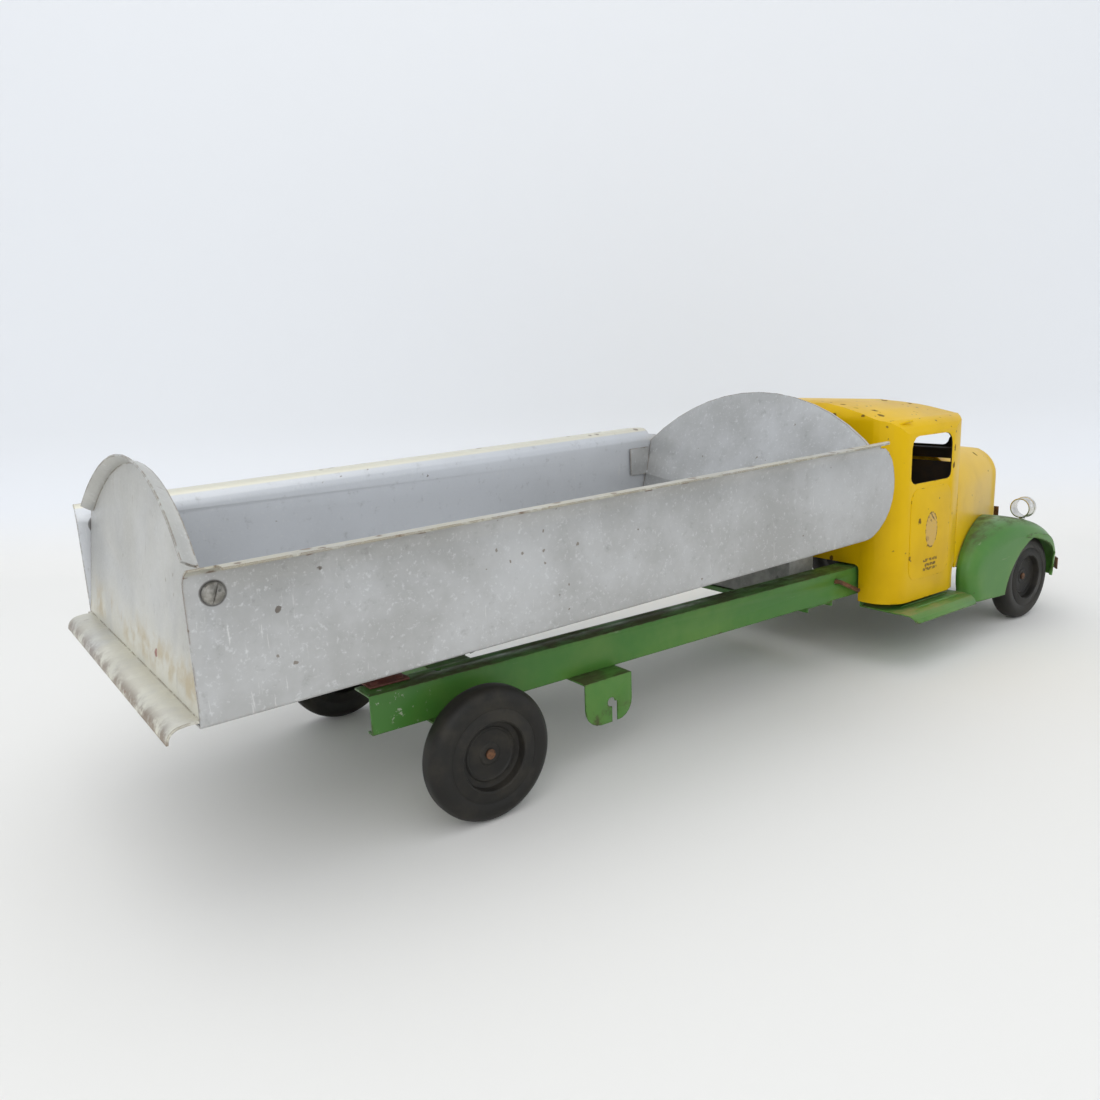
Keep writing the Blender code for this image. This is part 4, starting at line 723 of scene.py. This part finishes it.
# Stands for a node of bent sheet, with its edges rounded as pressed steel is.
# A turn is about the node's own middle, along Y.
def pressedPiece(node, material, width=0.35 * mm, inside=None, turn=0):
    settings = {
        "width": width,
        "segments": 2,
        "limit_method": "ANGLE",
        "angle_limit": radians(26),
        "use_clamp_overlap": True,
    }
    mesh = applied(node, softCopy(node), [("BEVEL", settings)])
    if turn:
        middle = Matrix.Translation(sum(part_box(node), Vector()) / 2)
        mesh.transform(middle @ Matrix.Rotation(radians(turn), 4, "Y") @ middle.inverted())
    return finishPiece(node + "_pressed", mesh, material, bodyOf[node], (node,), 40, inside)


# Closed ring or disc turned about an axle along Y, from (radius, outward) pairs.
def lathe(name, profile, centre, side, steps=96):
    shape = bmesh.new()
    rings = []
    for step in range(steps):
        angle = 2 * pi * step / steps
        ring = [
            shape.verts.new((centre[0] + r * cos(angle), centre[1] + side * out, centre[2] + r * sin(angle)))
            for r, out in profile
        ]
        rings.append(ring)
    count = len(profile)
    for i, ring in enumerate(rings):
        after = rings[(i + 1) % steps]
        for k in range(count):
            shape.faces.new((ring[k], ring[(k + 1) % count], after[(k + 1) % count], after[k]))
    bmesh.ops.recalc_face_normals(shape, faces=shape.faces)
    mesh = bpy.data.meshes.new(name)
    shape.to_mesh(mesh)
    shape.free()
    return mesh


# Stage, lights
stageSet = {
    "floor": (0.83, 0.815, 0.78),
    "wall": (0.81, 0.825, 0.85),
    "distance": 1.16,
    "bend": 0.16,
    "wide": 40.0,
    "tall": 5.0,
    "behind": 40.0,
}


# Paper sweep: a floor that bends up into a wall behind the truck. Its back can be seen through.
def makeStage():
    ahead = Vector((cos(radians(cameraSet["heading"])), sin(radians(cameraSet["heading"])), 0))
    aside = Vector((ahead.y, -ahead.x, 0))
    start = Vector((cameraPlace.translation.x, cameraPlace.translation.y, 0))
    line = [(-stageSet["behind"], 0.0), (stageSet["distance"] - stageSet["bend"] - 0.1, 0.0)]
    for step in range(1, 13):
        angle = radians(90 * step / 12)
        line.append(
            (
                stageSet["distance"] - stageSet["bend"] + stageSet["bend"] * sin(angle),
                stageSet["bend"] * (1 - cos(angle)),
            )
        )
    line.append((stageSet["distance"], stageSet["tall"]))
    shape = bmesh.new()
    rows = [
        [
            shape.verts.new(
                start + ahead * reach + aside * side * stageSet["wide"] + Vector((0, 0, high - 0.0002))
            )
            for side in (-1, 1)
        ]
        for reach, high in line
    ]
    for near, far in zip(rows, rows[1:]):
        shape.faces.new((near[0], near[1], far[1], far[0]))
    mesh = bpy.data.meshes.new("paperSweep")
    shape.to_mesh(mesh)
    shape.free()
    mesh.shade_smooth()
    sweep = bpy.data.objects.new("paperSweep", mesh)
    bpy.context.scene.collection.objects.link(sweep)
    material, tree, shader, place = startMaterial("stagePaper")
    height = addNode(tree, "ShaderNodeSeparateXYZ", {0: place}).outputs[2]
    colour = mixColour(tree, ramp(tree, height, 0.0, 0.08), stageSet["floor"], stageSet["wall"])
    tree.links.new(colour, shader.inputs["Base Color"])
    shader.inputs["Roughness"].default_value = 0.9
    clear = addNode(tree, "ShaderNodeBsdfTransparent").outputs[0]
    back = addNode(tree, "ShaderNodeNewGeometry").outputs["Backfacing"]
    chosen = addNode(tree, "ShaderNodeMixShader", {0: back, 1: shader.outputs[0], 2: clear})
    tree.links.new(chosen.outputs[0], tree.nodes["Material Output"].inputs["Surface"])
    mesh.materials.append(material)


lightSet = {"world": (0.9, 0.94, 1.0), "worldStrength": 0.93, "top": 9.5, "side": 9.0}


def addLamp(name, place, target, size, watts, colour):
    data = bpy.data.lights.new(name, "AREA")
    data.shape = "RECTANGLE"
    data.size, data.size_y = size
    data.energy = watts
    data.color = colour
    lamp = bpy.data.objects.new(name, data)
    lamp.location = place
    lamp.rotation_euler = (Vector(target) - Vector(place)).to_track_quat("-Z", "Y").to_euler()
    bpy.context.scene.collection.objects.link(lamp)


def makeLights():
    world = bpy.data.worlds.new("paleRoom")
    world.use_nodes = True
    back = world.node_tree.nodes["Background"]
    back.inputs["Color"].default_value = (*lightSet["world"], 1)
    back.inputs["Strength"].default_value = lightSet["worldStrength"]
    bpy.context.scene.world = world
    addLamp("topLight", (-0.15, 0.15, 1.7), (0, 0, 0), (2.2, 1.8), lightSet["top"], (1, 0.985, 0.95))
    addLamp("sideLight", (-1.3, -1.5, 1.3), (0, 0, 0.05), (1.6, 1.2), lightSet["side"], (1, 0.975, 0.94))
    bpy.context.scene.view_settings.view_transform = "Standard"


makeStage()
makeLights()
print("camera, stage and lights made")

# Wheels
wheelSet = {
    "radius": 35 * mm,
    "width": 15.5 * mm,
    "bore": 2.25 * mm,
    "hub": 5.6 * mm,
    "ridge": 13.3 * mm,
    "rim": 17.7 * mm,
    "groove": 24.5 * mm,
    "recess": 5.2 * mm,
    "shoulder": 5.6 * mm,
}


# Half section from the bore out over the disc and the tyre and back, as (radius, outward) pairs.
def wheelProfile():
    face = wheelSet["width"] / 2
    disc = face - wheelSet["recess"]
    hub, ridge, rim, groove = (wheelSet[key] for key in ("hub", "ridge", "rim", "groove"))
    half = [
        (wheelSet["bore"], disc + 0.3 * mm),
        (hub - 0.6 * mm, disc + 0.5 * mm),
        (hub, disc + 0.4 * mm),
        (hub + 0.5 * mm, disc),
    ]
    half += [
        (ridge - 1 * mm, disc),
        (ridge - 0.5 * mm, disc + 0.15 * mm),
        (ridge, disc + 0.75 * mm),
        (ridge + 0.6 * mm, disc + 0.8 * mm),
    ]
    half += [
        (ridge + 1.2 * mm, disc + 0.35 * mm), (rim - 1 * mm, disc + 0.4 * mm), (rim - 0.4 * mm, disc + 0.8 * mm)
    ]
    half += [
        (rim, face - 1 * mm),
        (rim + 0.25 * mm, face - 0.35 * mm),
        (rim + 0.9 * mm, face),
        (rim + 1.6 * mm, face - 0.25 * mm),
    ]
    half += [
        (groove - 0.8 * mm, face - 0.3 * mm),
        (groove - 0.3 * mm, face - 0.65 * mm),
        (groove + 0.2 * mm, face - 0.6 * mm),
    ]
    half += [(groove + 0.7 * mm, face - 0.2 * mm)]
    shoulder = wheelSet["shoulder"]
    for step in range(9):
        angle = radians(90 - 10 * step)
        reach = wheelSet["radius"] - shoulder * (1 - cos(angle))
        half.append((reach - 0.25 * mm * sin(angle), face - 0.1 * mm - shoulder * (1 - sin(angle))))
    half.append((wheelSet["radius"], face - shoulder - 0.3 * mm))
    return half + [(r, -out) for r, out in reversed(half)]


for end, centre in (("rear", rearAxle), ("front", frontAxle)):
    for word, side in (("right", -1), ("left", 1)):
        node = f"wheel_{end}_{word}"
        low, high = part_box(node)
        middle = (centre.x, (low.y + high.y) / 2, centre.z)
        finishPiece(
            f"{end}_{word}_tyre",
            lathe(node, wheelProfile(), middle, side, 112),
            finishes["rubber"],
            node,
            (node,),
            38,
        )
print("wheels made")

# Hood and fenders: smooth sheets through the rows of the pressing
hoodSet = {
    "back": 421.3 * mm,
    "nose": 566 * mm,
    "radius": 24 * mm,
    "cowlHalf": 93 * mm,
    "cowlTop": 148.5 * mm,
    "noseHalf": 55 * mm,
    "noseTop": 138 * mm,
    "crown": 2 * mm,
    "sheet": 1 * mm,
}
fenderSet = {"face": 106 * mm, "round": 13 * mm, "sheet": 1 * mm, "railTop": 70.4 * mm, "webOut": 67.2 * mm}


# Point of a smooth curve between start and end.
def curvePoint(before, start, end, after, t):
    return 0.5 * (
        2 * start + (end - before) * t + (
            2 * before - 5 * start + 4 * end - after
        ) * t**2 + (3 * start - before - 3 * end + after) * t**3
    )


def denser(line, times):
    result = []
    for i in range(len(line) - 1):
        corners = (line[max(i - 1, 0)], line[i], line[i + 1], line[min(i + 2, len(line) - 1)])
        result += [curvePoint(*corners, k / times) for k in range(times)]
    return result + [line[-1]]


def denserRows(rows, across, along):
    rows = [denser([Vector(point) for point in row], across) for row in rows]
    columns = [denser([row[i] for row in rows], along) for i in range(len(rows[0]))]
    return [[column[i] for column in columns] for i in range(len(columns[0]))]


def sheetMesh(name, rows, thickness, flip=False):
    shape = bmesh.new()
    lines = [[shape.verts.new(point) for point in row] for row in rows]
    for near, far in zip(lines, lines[1:]):
        for i in range(len(near) - 1):
            corners = (near[i], near[i + 1], far[i + 1], far[i])
            shape.faces.new(corners[::-1] if flip else corners)
    mesh = bpy.data.meshes.new(name)
    shape.to_mesh(mesh)
    shape.free()
    return applied(name, mesh, [("SOLIDIFY", {"thickness": thickness, "offset": -1})])


def hoodHalfWidth(share):
    return hoodSet["cowlHalf"] + (hoodSet["noseHalf"] - hoodSet["cowlHalf"]) * share**1.15


# Row across the hood, from the left side's lower edge over the crown to the right side's.
def hoodRow(x, half, top, bottom):
    edge = top - hoodSet["crown"]
    shoulder = min(half * 0.38, (edge - bottom) * 0.55)
    right = [(half, bottom), (half, (bottom + edge - shoulder) / 2)]
    for step in range(6):
        turn = radians(18 * step)
        y = half - shoulder * (1 - cos(turn))
        crown = hoodSet["crown"] * (1 - (y / half) ** 2) * sin(turn)
        right.append((y, edge - shoulder * (1 - sin(turn)) + crown))
    return [(x, y, z) for y, z in right] + [(x, 0, top)] + [(x, -y, z) for y, z in reversed(right)]


def hoodBottom(x):
    share = min(max((x - rearAxle.x - hoodSet["back"] - 11.7 * mm) / (20 * mm), 0), 1)
    return 59.6 * mm + 11.1 * mm * share


def makeHood():
    back = rearAxle.x + hoodSet["back"]
    flatEnd = rearAxle.x + hoodSet["nose"] - hoodSet["radius"]
    rows = []
    for share in (0, 0.04, 0.1, 0.2, 0.35, 0.5, 0.65, 0.8, 0.9, 1):
        x = back + (flatEnd - back) * share
        top = hoodSet["cowlTop"] + (hoodSet["noseTop"] - hoodSet["cowlTop"]) * share**1.3
        rows.append(hoodRow(x, hoodHalfWidth(share), top, hoodBottom(x)))
    for turn in (15, 30, 45, 60, 75, 90):
        turned = hoodSet["radius"] * (1 - cos(radians(turn)))
        x = flatEnd + hoodSet["radius"] * sin(radians(turn))
        rows.append(hoodRow(x, hoodSet["noseHalf"] - turned, hoodSet["noseTop"] - turned, hoodBottom(x)))
    mesh = sheetMesh("hood", denserRows(rows, 3, 2), hoodSet["sheet"])
    # the hood's inner faces get the near-black painted shade
    finishPiece(
        "hood_pressing",
        mesh,
        finishes["yellow"],
        "chassis",
        ("hood_shell",),
        50,
        finishes["paintedShade"],
    )


def bezier(start, handleA, handleB, end, steps):
    points = []
    for i in range(steps + 1):
        t = i / steps
        weights = ((1 - t) ** 3, 3 * t * (1 - t) ** 2, 3 * t * t * (1 - t), t**3)
        points.append(
            tuple(sum(w * c[k] for w, c in zip(weights, (start, handleA, handleB, end))) * mm for k in (0, 1))
        )
    return points


def fenderRidge():
    line = bezier((430, 32), (427, 40), (422, 50), (425, 60), 3)
    line += bezier((425, 60), (432, 80), (465, 88), (487, 88), 5)[1:]
    line += bezier((487, 88), (512, 88), (541, 80), (556, 68), 5)[1:]
    line += bezier((556, 68), (571, 56), (573, 44), (566, 31), 5)[1:]
    return [(rearAxle.x + x, z) for x, z in line]


# Edge of the wheel opening, share 0 at the rear foot and 1 at the front.
def archEdge(share):
    radius = wheelSet["radius"]
    reach = radius + 2 * mm + 14 * mm * (1 - share) ** 3
    angle = radians(187 - 194 * share)
    return (frontAxle.x + reach * cos(angle), radius + max((radius + 2 * mm) * sin(angle), -6 * mm))


def fenderInner(x, z):
    back = rearAxle.x + hoodSet["back"]
    flat = rearAxle.x + hoodSet["nose"] - hoodSet["radius"]
    share = (x - back) / (flat - back)
    inner = hoodHalfWidth(min(max(share, 0), 1)) + 0.7 * mm
    if share < 0:
        inner = hoodSet["cowlHalf"] + 1.1 * mm
    if z < fenderSet["railTop"] + 6 * mm:
        inner = max(inner, fenderSet["webOut"] + 1.5 * mm)
    return inner


def fenderRows():
    ridge = fenderRidge()
    count = len(ridge) - 1
    rows = []
    for i, (x, z) in enumerate(ridge):
        along = (Vector(ridge[min(i + 1, count)]) - Vector(ridge[max(i - 1, 0)])).normalized()
        inward = Vector((along.y, -along.x))
        if i in (0, count):
            inward = Vector((1 if i == 0 else -1, 0))
        inner = fenderInner(x, z)
        taper = max(i / count - 0.6, 0) / 0.4
        face = fenderSet["face"] - 6 * mm * taper
        drop = fenderSet["round"] * (1 - 0.6 * taper)
        start = max(face - drop, inner + (face - inner) * 0.4)
        row = [(inner, 0), ((inner + start) / 2, -0.6 * mm), (start, 0)]
        for turn in (30, 60, 90):
            out = start + (face - start) * sin(radians(turn))
            row.append((out, drop * (1 - cos(radians(turn)))))
        row = [(x + inward.x * fall, -y, z + inward.y * fall) for y, fall in row]
        edge = archEdge(i / count)
        last = row[-1]
        row.append(((last[0] + edge[0]) / 2, -face, (last[2] + edge[1]) / 2))
        row.append((edge[0], -face, edge[1]))
        rows.append(row)
    return rows


def makeFenders():
    rows = denserRows(fenderRows(), 3, 3)
    for word, side in (("right", -1), ("left", 1)):
        placed = [[Vector((p.x, -side * p.y, p.z)) for p in row] for row in rows]
        mesh = sheetMesh("fender", placed, fenderSet["sheet"], side > 0)
        node = "front_fender_" + word
        finishPiece(word + "_fender_pressing", mesh, finishes["green"], "chassis", (node,), 45)


makeHood()
makeFenders()
print("hood and fenders made")

# Pressed and bent pieces
greenPieces = {
    "axle_hanger": "hangerGreen",
    "frame_rail": "railGreen",
    "running_board": "boardGreen",
    "cross_member": "green",
    "bumper_arm": "green",
    "rest_strap": "green",
}
for node in nodes:
    for start, finish in greenPieces.items():
        if node.startswith(start):
            pressedPiece(node, finishes[finish])
for node in ("bed_pan", "bed_hinge_bracket_left", "bed_hinge_bracket_right", "bed_rest_pad"):
    pressedPiece(node, finishes["silverSides"])
pressedPiece("bed_bulkhead", finishes["silverFront"])
pressedPiece("tailgate", finishes["silverGate"], 0.3 * mm)
pressedPiece("bed_rest", finishes["grey"])
# the cab's enclosed faces and its whole floor get the near-black painted shade
pressedPiece("cab_shell", finishes["yellow"], 0.4 * mm, inside=finishes["paintedShade"])
pressedPiece("cab_floor", finishes["paintedShade"])
pressedPiece("bumper", finishes["rusty"], 0.3 * mm)
for node in ("hinge_stand_left", "hinge_stand_right"):
    pressedPiece(node, finishes["primer"])
pressedPiece("tailgate_nut", finishes["steel"], 0.15 * mm)
pressedPiece("tailgate_screw", finishes["steel"], 0.15 * mm, turn=36)
for node in ("front_axle", "rear_axle", "cab_tie_rod", "bed_hinge_rod", "nose_tab_left", "nose_tab_right"):
    pressedPiece(node, finishes["rusty"], 0.2 * mm)
for node in ("headlight_left", "headlight_right", "headlight_post_left", "headlight_post_right", "grille"):
    pressedPiece(node, finishes["chrome"], 0.2 * mm)
print("pressed pieces made")

# Rows of beads and rivets


def newTree(name, inputs):
    tree = bpy.data.node_groups.new(name, "GeometryNodeTree")
    tree.interface.new_socket("Geometry", in_out="INPUT", socket_type="NodeSocketGeometry")
    for label, kind, value in inputs:
        tree.interface.new_socket(label, in_out="INPUT", socket_type=kind).default_value = value
    tree.interface.new_socket("Material", in_out="INPUT", socket_type="NodeSocketMaterial")
    tree.interface.new_socket("Geometry", in_out="OUTPUT", socket_type="NodeSocketGeometry")
    return tree, tree.nodes.new("NodeGroupInput").outputs, tree.nodes.new("NodeGroupOutput").inputs


# Copies the shape to each point, makes the copies real and gives them their finish.
def endTree(tree, given, result, points, shape):
    copies = addNode(tree, "GeometryNodeInstanceOnPoints", {"Points": points, "Instance": shape}).outputs[0]
    real = addNode(tree, "GeometryNodeRealizeInstances", {0: copies}).outputs[0]
    done = addNode(
        tree, "GeometryNodeSetMaterial", {"Geometry": real, "Material": given["Material"]}
    ).outputs[0]
    tree.links.new(done, result[0])


def rowPoints(tree, given):
    inputs = {"Count": given["Count"], "Start Location": given["Start"], "Offset": given["Step"]}
    return addNode(tree, "GeometryNodeMeshLine", inputs).outputs[0]


# Row of raised round-ended bars.
def makeBeadTree():
    inputs = [
        ("Count", "NodeSocketInt", 3),
        ("Start", "NodeSocketVector", (0, 0, 0)),
        ("Step", "NodeSocketVector", (0, 0.007, 0)),
        ("Along", "NodeSocketVector", (0.07, 0, 0)),
        ("Radius", "NodeSocketFloat", 0.001),
    ]
    tree, given, result = newTree("beadRow", inputs)
    line = addNode(tree, "GeometryNodeCurvePrimitiveLine", {"End": given["Along"]}).outputs[0]
    fine = addNode(tree, "GeometryNodeResampleCurve", {"Curve": line, "Count": 12}).outputs[0]
    ring = addNode(
        tree, "GeometryNodeCurvePrimitiveCircle", {"Resolution": 12, "Radius": given["Radius"]}
    ).outputs[0]
    place = addNode(tree, "GeometryNodeSplineParameter").outputs["Factor"]
    fall = calc(tree, "ABSOLUTE", calc(tree, "SUBTRACT", calc(tree, "MULTIPLY", place, 2.0), 1.0))
    thin = calc(tree, "SQRT", calc(tree, "SUBTRACT", 1.02, calc(tree, "POWER", fall, 14.0)))
    sized = addNode(tree, "GeometryNodeSetCurveRadius", {"Curve": fine, "Radius": thin}).outputs[0]
    bar = addNode(tree, "GeometryNodeCurveToMesh", {"Curve": sized, "Profile Curve": ring, "Fill Caps": True})
    if "Scale" in bar.inputs:
        tree.links.new(thin, bar.inputs["Scale"])
    endTree(tree, given, result, rowPoints(tree, given), bar.outputs[0])
    return tree


# Row of low round rivet heads.
def makeRivetTree():
    inputs = [
        ("Count", "NodeSocketInt", 2),
        ("Start", "NodeSocketVector", (0, 0, 0)),
        ("Step", "NodeSocketVector", (0.01, 0, 0)),
        ("Size", "NodeSocketVector", (0.002, 0.002, 0.0012)),
    ]
    tree, given, result = newTree("rivetRow", inputs)
    ball = addNode(tree, "GeometryNodeMeshUVSphere", {"Segments": 16, "Rings": 8, "Radius": 1.0}).outputs[0]
    head = addNode(tree, "GeometryNodeTransform", {"Geometry": ball, "Scale": given["Size"]}).outputs[0]
    endTree(tree, given, result, rowPoints(tree, given), head)
    return tree



# A row made by a tree, as a plain mesh that rides on a body.
def rowPiece(name, tree, values, material, body):
    source = bpy.data.objects.new(name, bpy.data.meshes.new(name))
    bpy.context.scene.collection.objects.link(source)
    modifier = source.modifiers.new("Row", "NODES")
    modifier.node_group = tree
    for socket in tree.interface.items_tree:
        if socket.in_out == "INPUT" and socket.name in values:
            modifier[socket.identifier] = values[socket.name]
        elif socket.in_out == "INPUT" and socket.name == "Material":
            modifier[socket.identifier] = material
    bpy.context.view_layer.update()
    graph = bpy.context.evaluated_depsgraph_get()
    mesh = bpy.data.meshes.new_from_object(source.evaluated_get(graph))
    bpy.data.objects.remove(source, do_unlink=True)
    return finishPiece(name, mesh, material, body, (), 60)


beadTree = makeBeadTree()
rivetTree = makeRivetTree()

boardSet = {
    "ribs": 3,
    "pitch": 8.5 * mm,
    "radius": 0.9 * mm,
    "endRoom": 9 * mm,
    "outerRib": 100 * mm,
    "ribHigh": 40.95 * mm,
}
for word, side in (("right", -1), ("left", 1)):
    low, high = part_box("running_board_" + word)
    values = {
        "Count": boardSet["ribs"],
        "Start": (low.x + boardSet["endRoom"] + 6 * mm, side * boardSet["outerRib"], boardSet["ribHigh"]),
        "Step": (0, -side * boardSet["pitch"], 0),
        "Along": (high.x - low.x - boardSet["endRoom"] * 2 - 4 * mm, 0, 0),
        "Radius": boardSet["radius"],
    }
    rowPiece(word + "_board_ribs", beadTree, values, finishes["boardGreen"], "chassis")

grilleSet = {"bars": 4, "margin": 6 * mm, "share": 0.72, "radius": 1.6 * mm}
grilleLow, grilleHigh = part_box("grille")
barPitch = (grilleHigh.y - grilleLow.y - 2 * grilleSet["margin"]) / (grilleSet["bars"] + 1)
values = {
    "Count": grilleSet["bars"],
    "Start": (grilleHigh.x, -1.5 * barPitch, grilleLow.z + 4 * mm),
    "Step": (0, barPitch, 0),
    "Along": (0, 0, (grilleHigh.z - grilleLow.z) * grilleSet["share"]),
    "Radius": grilleSet["radius"],
}
rowPiece("grille_bars", beadTree, values, finishes["chrome"], "chassis")

rivetSet = {"stand": (2.1 * mm, 2.1 * mm, 1.1 * mm), "pad": (2.2 * mm, 2.2 * mm, 1.1 * mm)}
for word, side in (("right", -1), ("left", 1)):
    low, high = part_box("hinge_stand_" + word)
    edge = low.y if side < 0 else high.y
    values = {
        "Count": 2,
        "Start": (low.x + 4 * mm, edge - side * 4 * mm, low.z + 1.25 * mm),
        "Step": (high.x - low.x - 8 * mm, 0, 0),
    }
    values["Size"] = rivetSet["stand"]
    rowPiece(word + "_stand_rivets", rivetTree, values, finishes["primer"], "chassis")
low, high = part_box("bed_rest_pad")
values = {
    "Count": 4,
    "Start": (low.x + 8 * mm, low.y + 8 * mm, low.z + 0.2 * mm),
    "Step": (0, (high.y - low.y - 16 * mm) / 3, 0),
}
values["Size"] = rivetSet["pad"]
rowPiece("pad_rivets", rivetTree, values, finishes["silverSides"], "bed")
print("rows made")

# Cab details
cabSet = {
    "panelBack": 349.5 * mm,
    "panelFront": 404 * mm,
    "panelLow": 60.5 * mm,
    "panelHigh": 127 * mm,
    "panelCorner": 9 * mm,
    "raise": 0.5 * mm,
    "seamRadius": 0.9 * mm,
}


def roundedRectangle(x0, x1, z0, z1, corner, steps=6):
    points = []
    for cx, cz, start in (
        (x0 + corner, z0 + corner, 180),
        (x1 - corner, z0 + corner, 270),
        (x1 - corner, z1 - corner, 0),
        (x0 + corner, z1 - corner, 90),
    ):
        points += [
            (
                cx + corner * cos(radians(start + 90 * i / steps)),
                cz + corner * sin(radians(start + 90 * i / steps)),
            )
            for i in range(steps + 1)
        ]
    return points


# The door's raised field, pressed out of the cab side below the window.
def makeDoorPanels():
    x0, x1 = (rearAxle.x + cabSet[key] for key in ("panelBack", "panelFront"))
    outline = roundedRectangle(
        x0 + 4.6 * mm, x1, cabSet["panelLow"], cabSet["panelHigh"], cabSet["panelCorner"]
    )
    low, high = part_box("cab_shell")
    for word, side in (("right", -1), ("left", 1)):
        shape = bmesh.new()
        face = high.y if side > 0 else -low.y
        rings = []
        for out, shrink in ((-0.6 * mm, 0), (cabSet["raise"] * 0.5, 0), (cabSet["raise"], 0.9 * mm)):
            cx, cz = (x0 + x1) / 2, (cabSet["panelLow"] + cabSet["panelHigh"]) / 2
            scaleX = 1 - shrink * 2 / (x1 - x0)
            scaleZ = 1 - shrink * 2 / (cabSet["panelHigh"] - cabSet["panelLow"])
            rings.append(
                [
                    shape.verts.new((cx + (x - cx) * scaleX, side * (face + out), cz + (z - cz) * scaleZ))
                    for x, z in outline
                ]
            )
        for near, far in zip(rings, rings[1:]):
            for i in range(len(near)):
                k = (i + 1) % len(near)
                shape.faces.new((near[i], near[k], far[k], far[i]))
        shape.faces.new(rings[0])
        shape.faces.new(rings[-1])
        bmesh.ops.recalc_face_normals(shape, faces=shape.faces)
        mesh = bpy.data.meshes.new("door")
        shape.to_mesh(mesh)
        shape.free()
        finishPiece(word + "_door_panel", mesh, finishes["yellow"], "chassis", (), 35)


# Thin rod along a few points.
def beadAlong(name, points, radius, material, body):
    curve = bpy.data.curves.new(name, "CURVE")
    curve.dimensions = "3D"
    curve.bevel_depth = radius
    curve.bevel_resolution = 3
    curve.use_fill_caps = True
    spline = curve.splines.new("POLY")
    line = denser([Vector(point) for point in points], 6)
    spline.points.add(len(line) - 1)
    for point, place in zip(spline.points, line):
        point.co = (*place, 1)
    source = bpy.data.objects.new(name, curve)
    bpy.context.scene.collection.objects.link(source)
    bpy.context.view_layer.update()
    mesh = bpy.data.meshes.new_from_object(source.evaluated_get(bpy.context.evaluated_depsgraph_get()))
    bpy.data.objects.remove(source, do_unlink=True)
    return finishPiece(name, mesh, material, body, (), 60)


makeDoorPanels()
for word, side in (("right", -1), ("left", 1)):
    x = rearAxle.x
    seam = [
        (x + 336 * mm, side * 82 * mm, 166.5 * mm),
        (x + 341 * mm, side * 88 * mm, 171 * mm),
        (x + 349 * mm, side * 91.5 * mm, 174 * mm),
        (x + 358 * mm, side * 92.5 * mm, 175 * mm),
    ]
    beadAlong(word + "_corner_seam", seam, cabSet["seamRadius"], finishes["yellow"], "chassis")
print("cab details made")

for name, node in nodes.items():
    if not node.hide_render:
        print("still a plain node:", name)
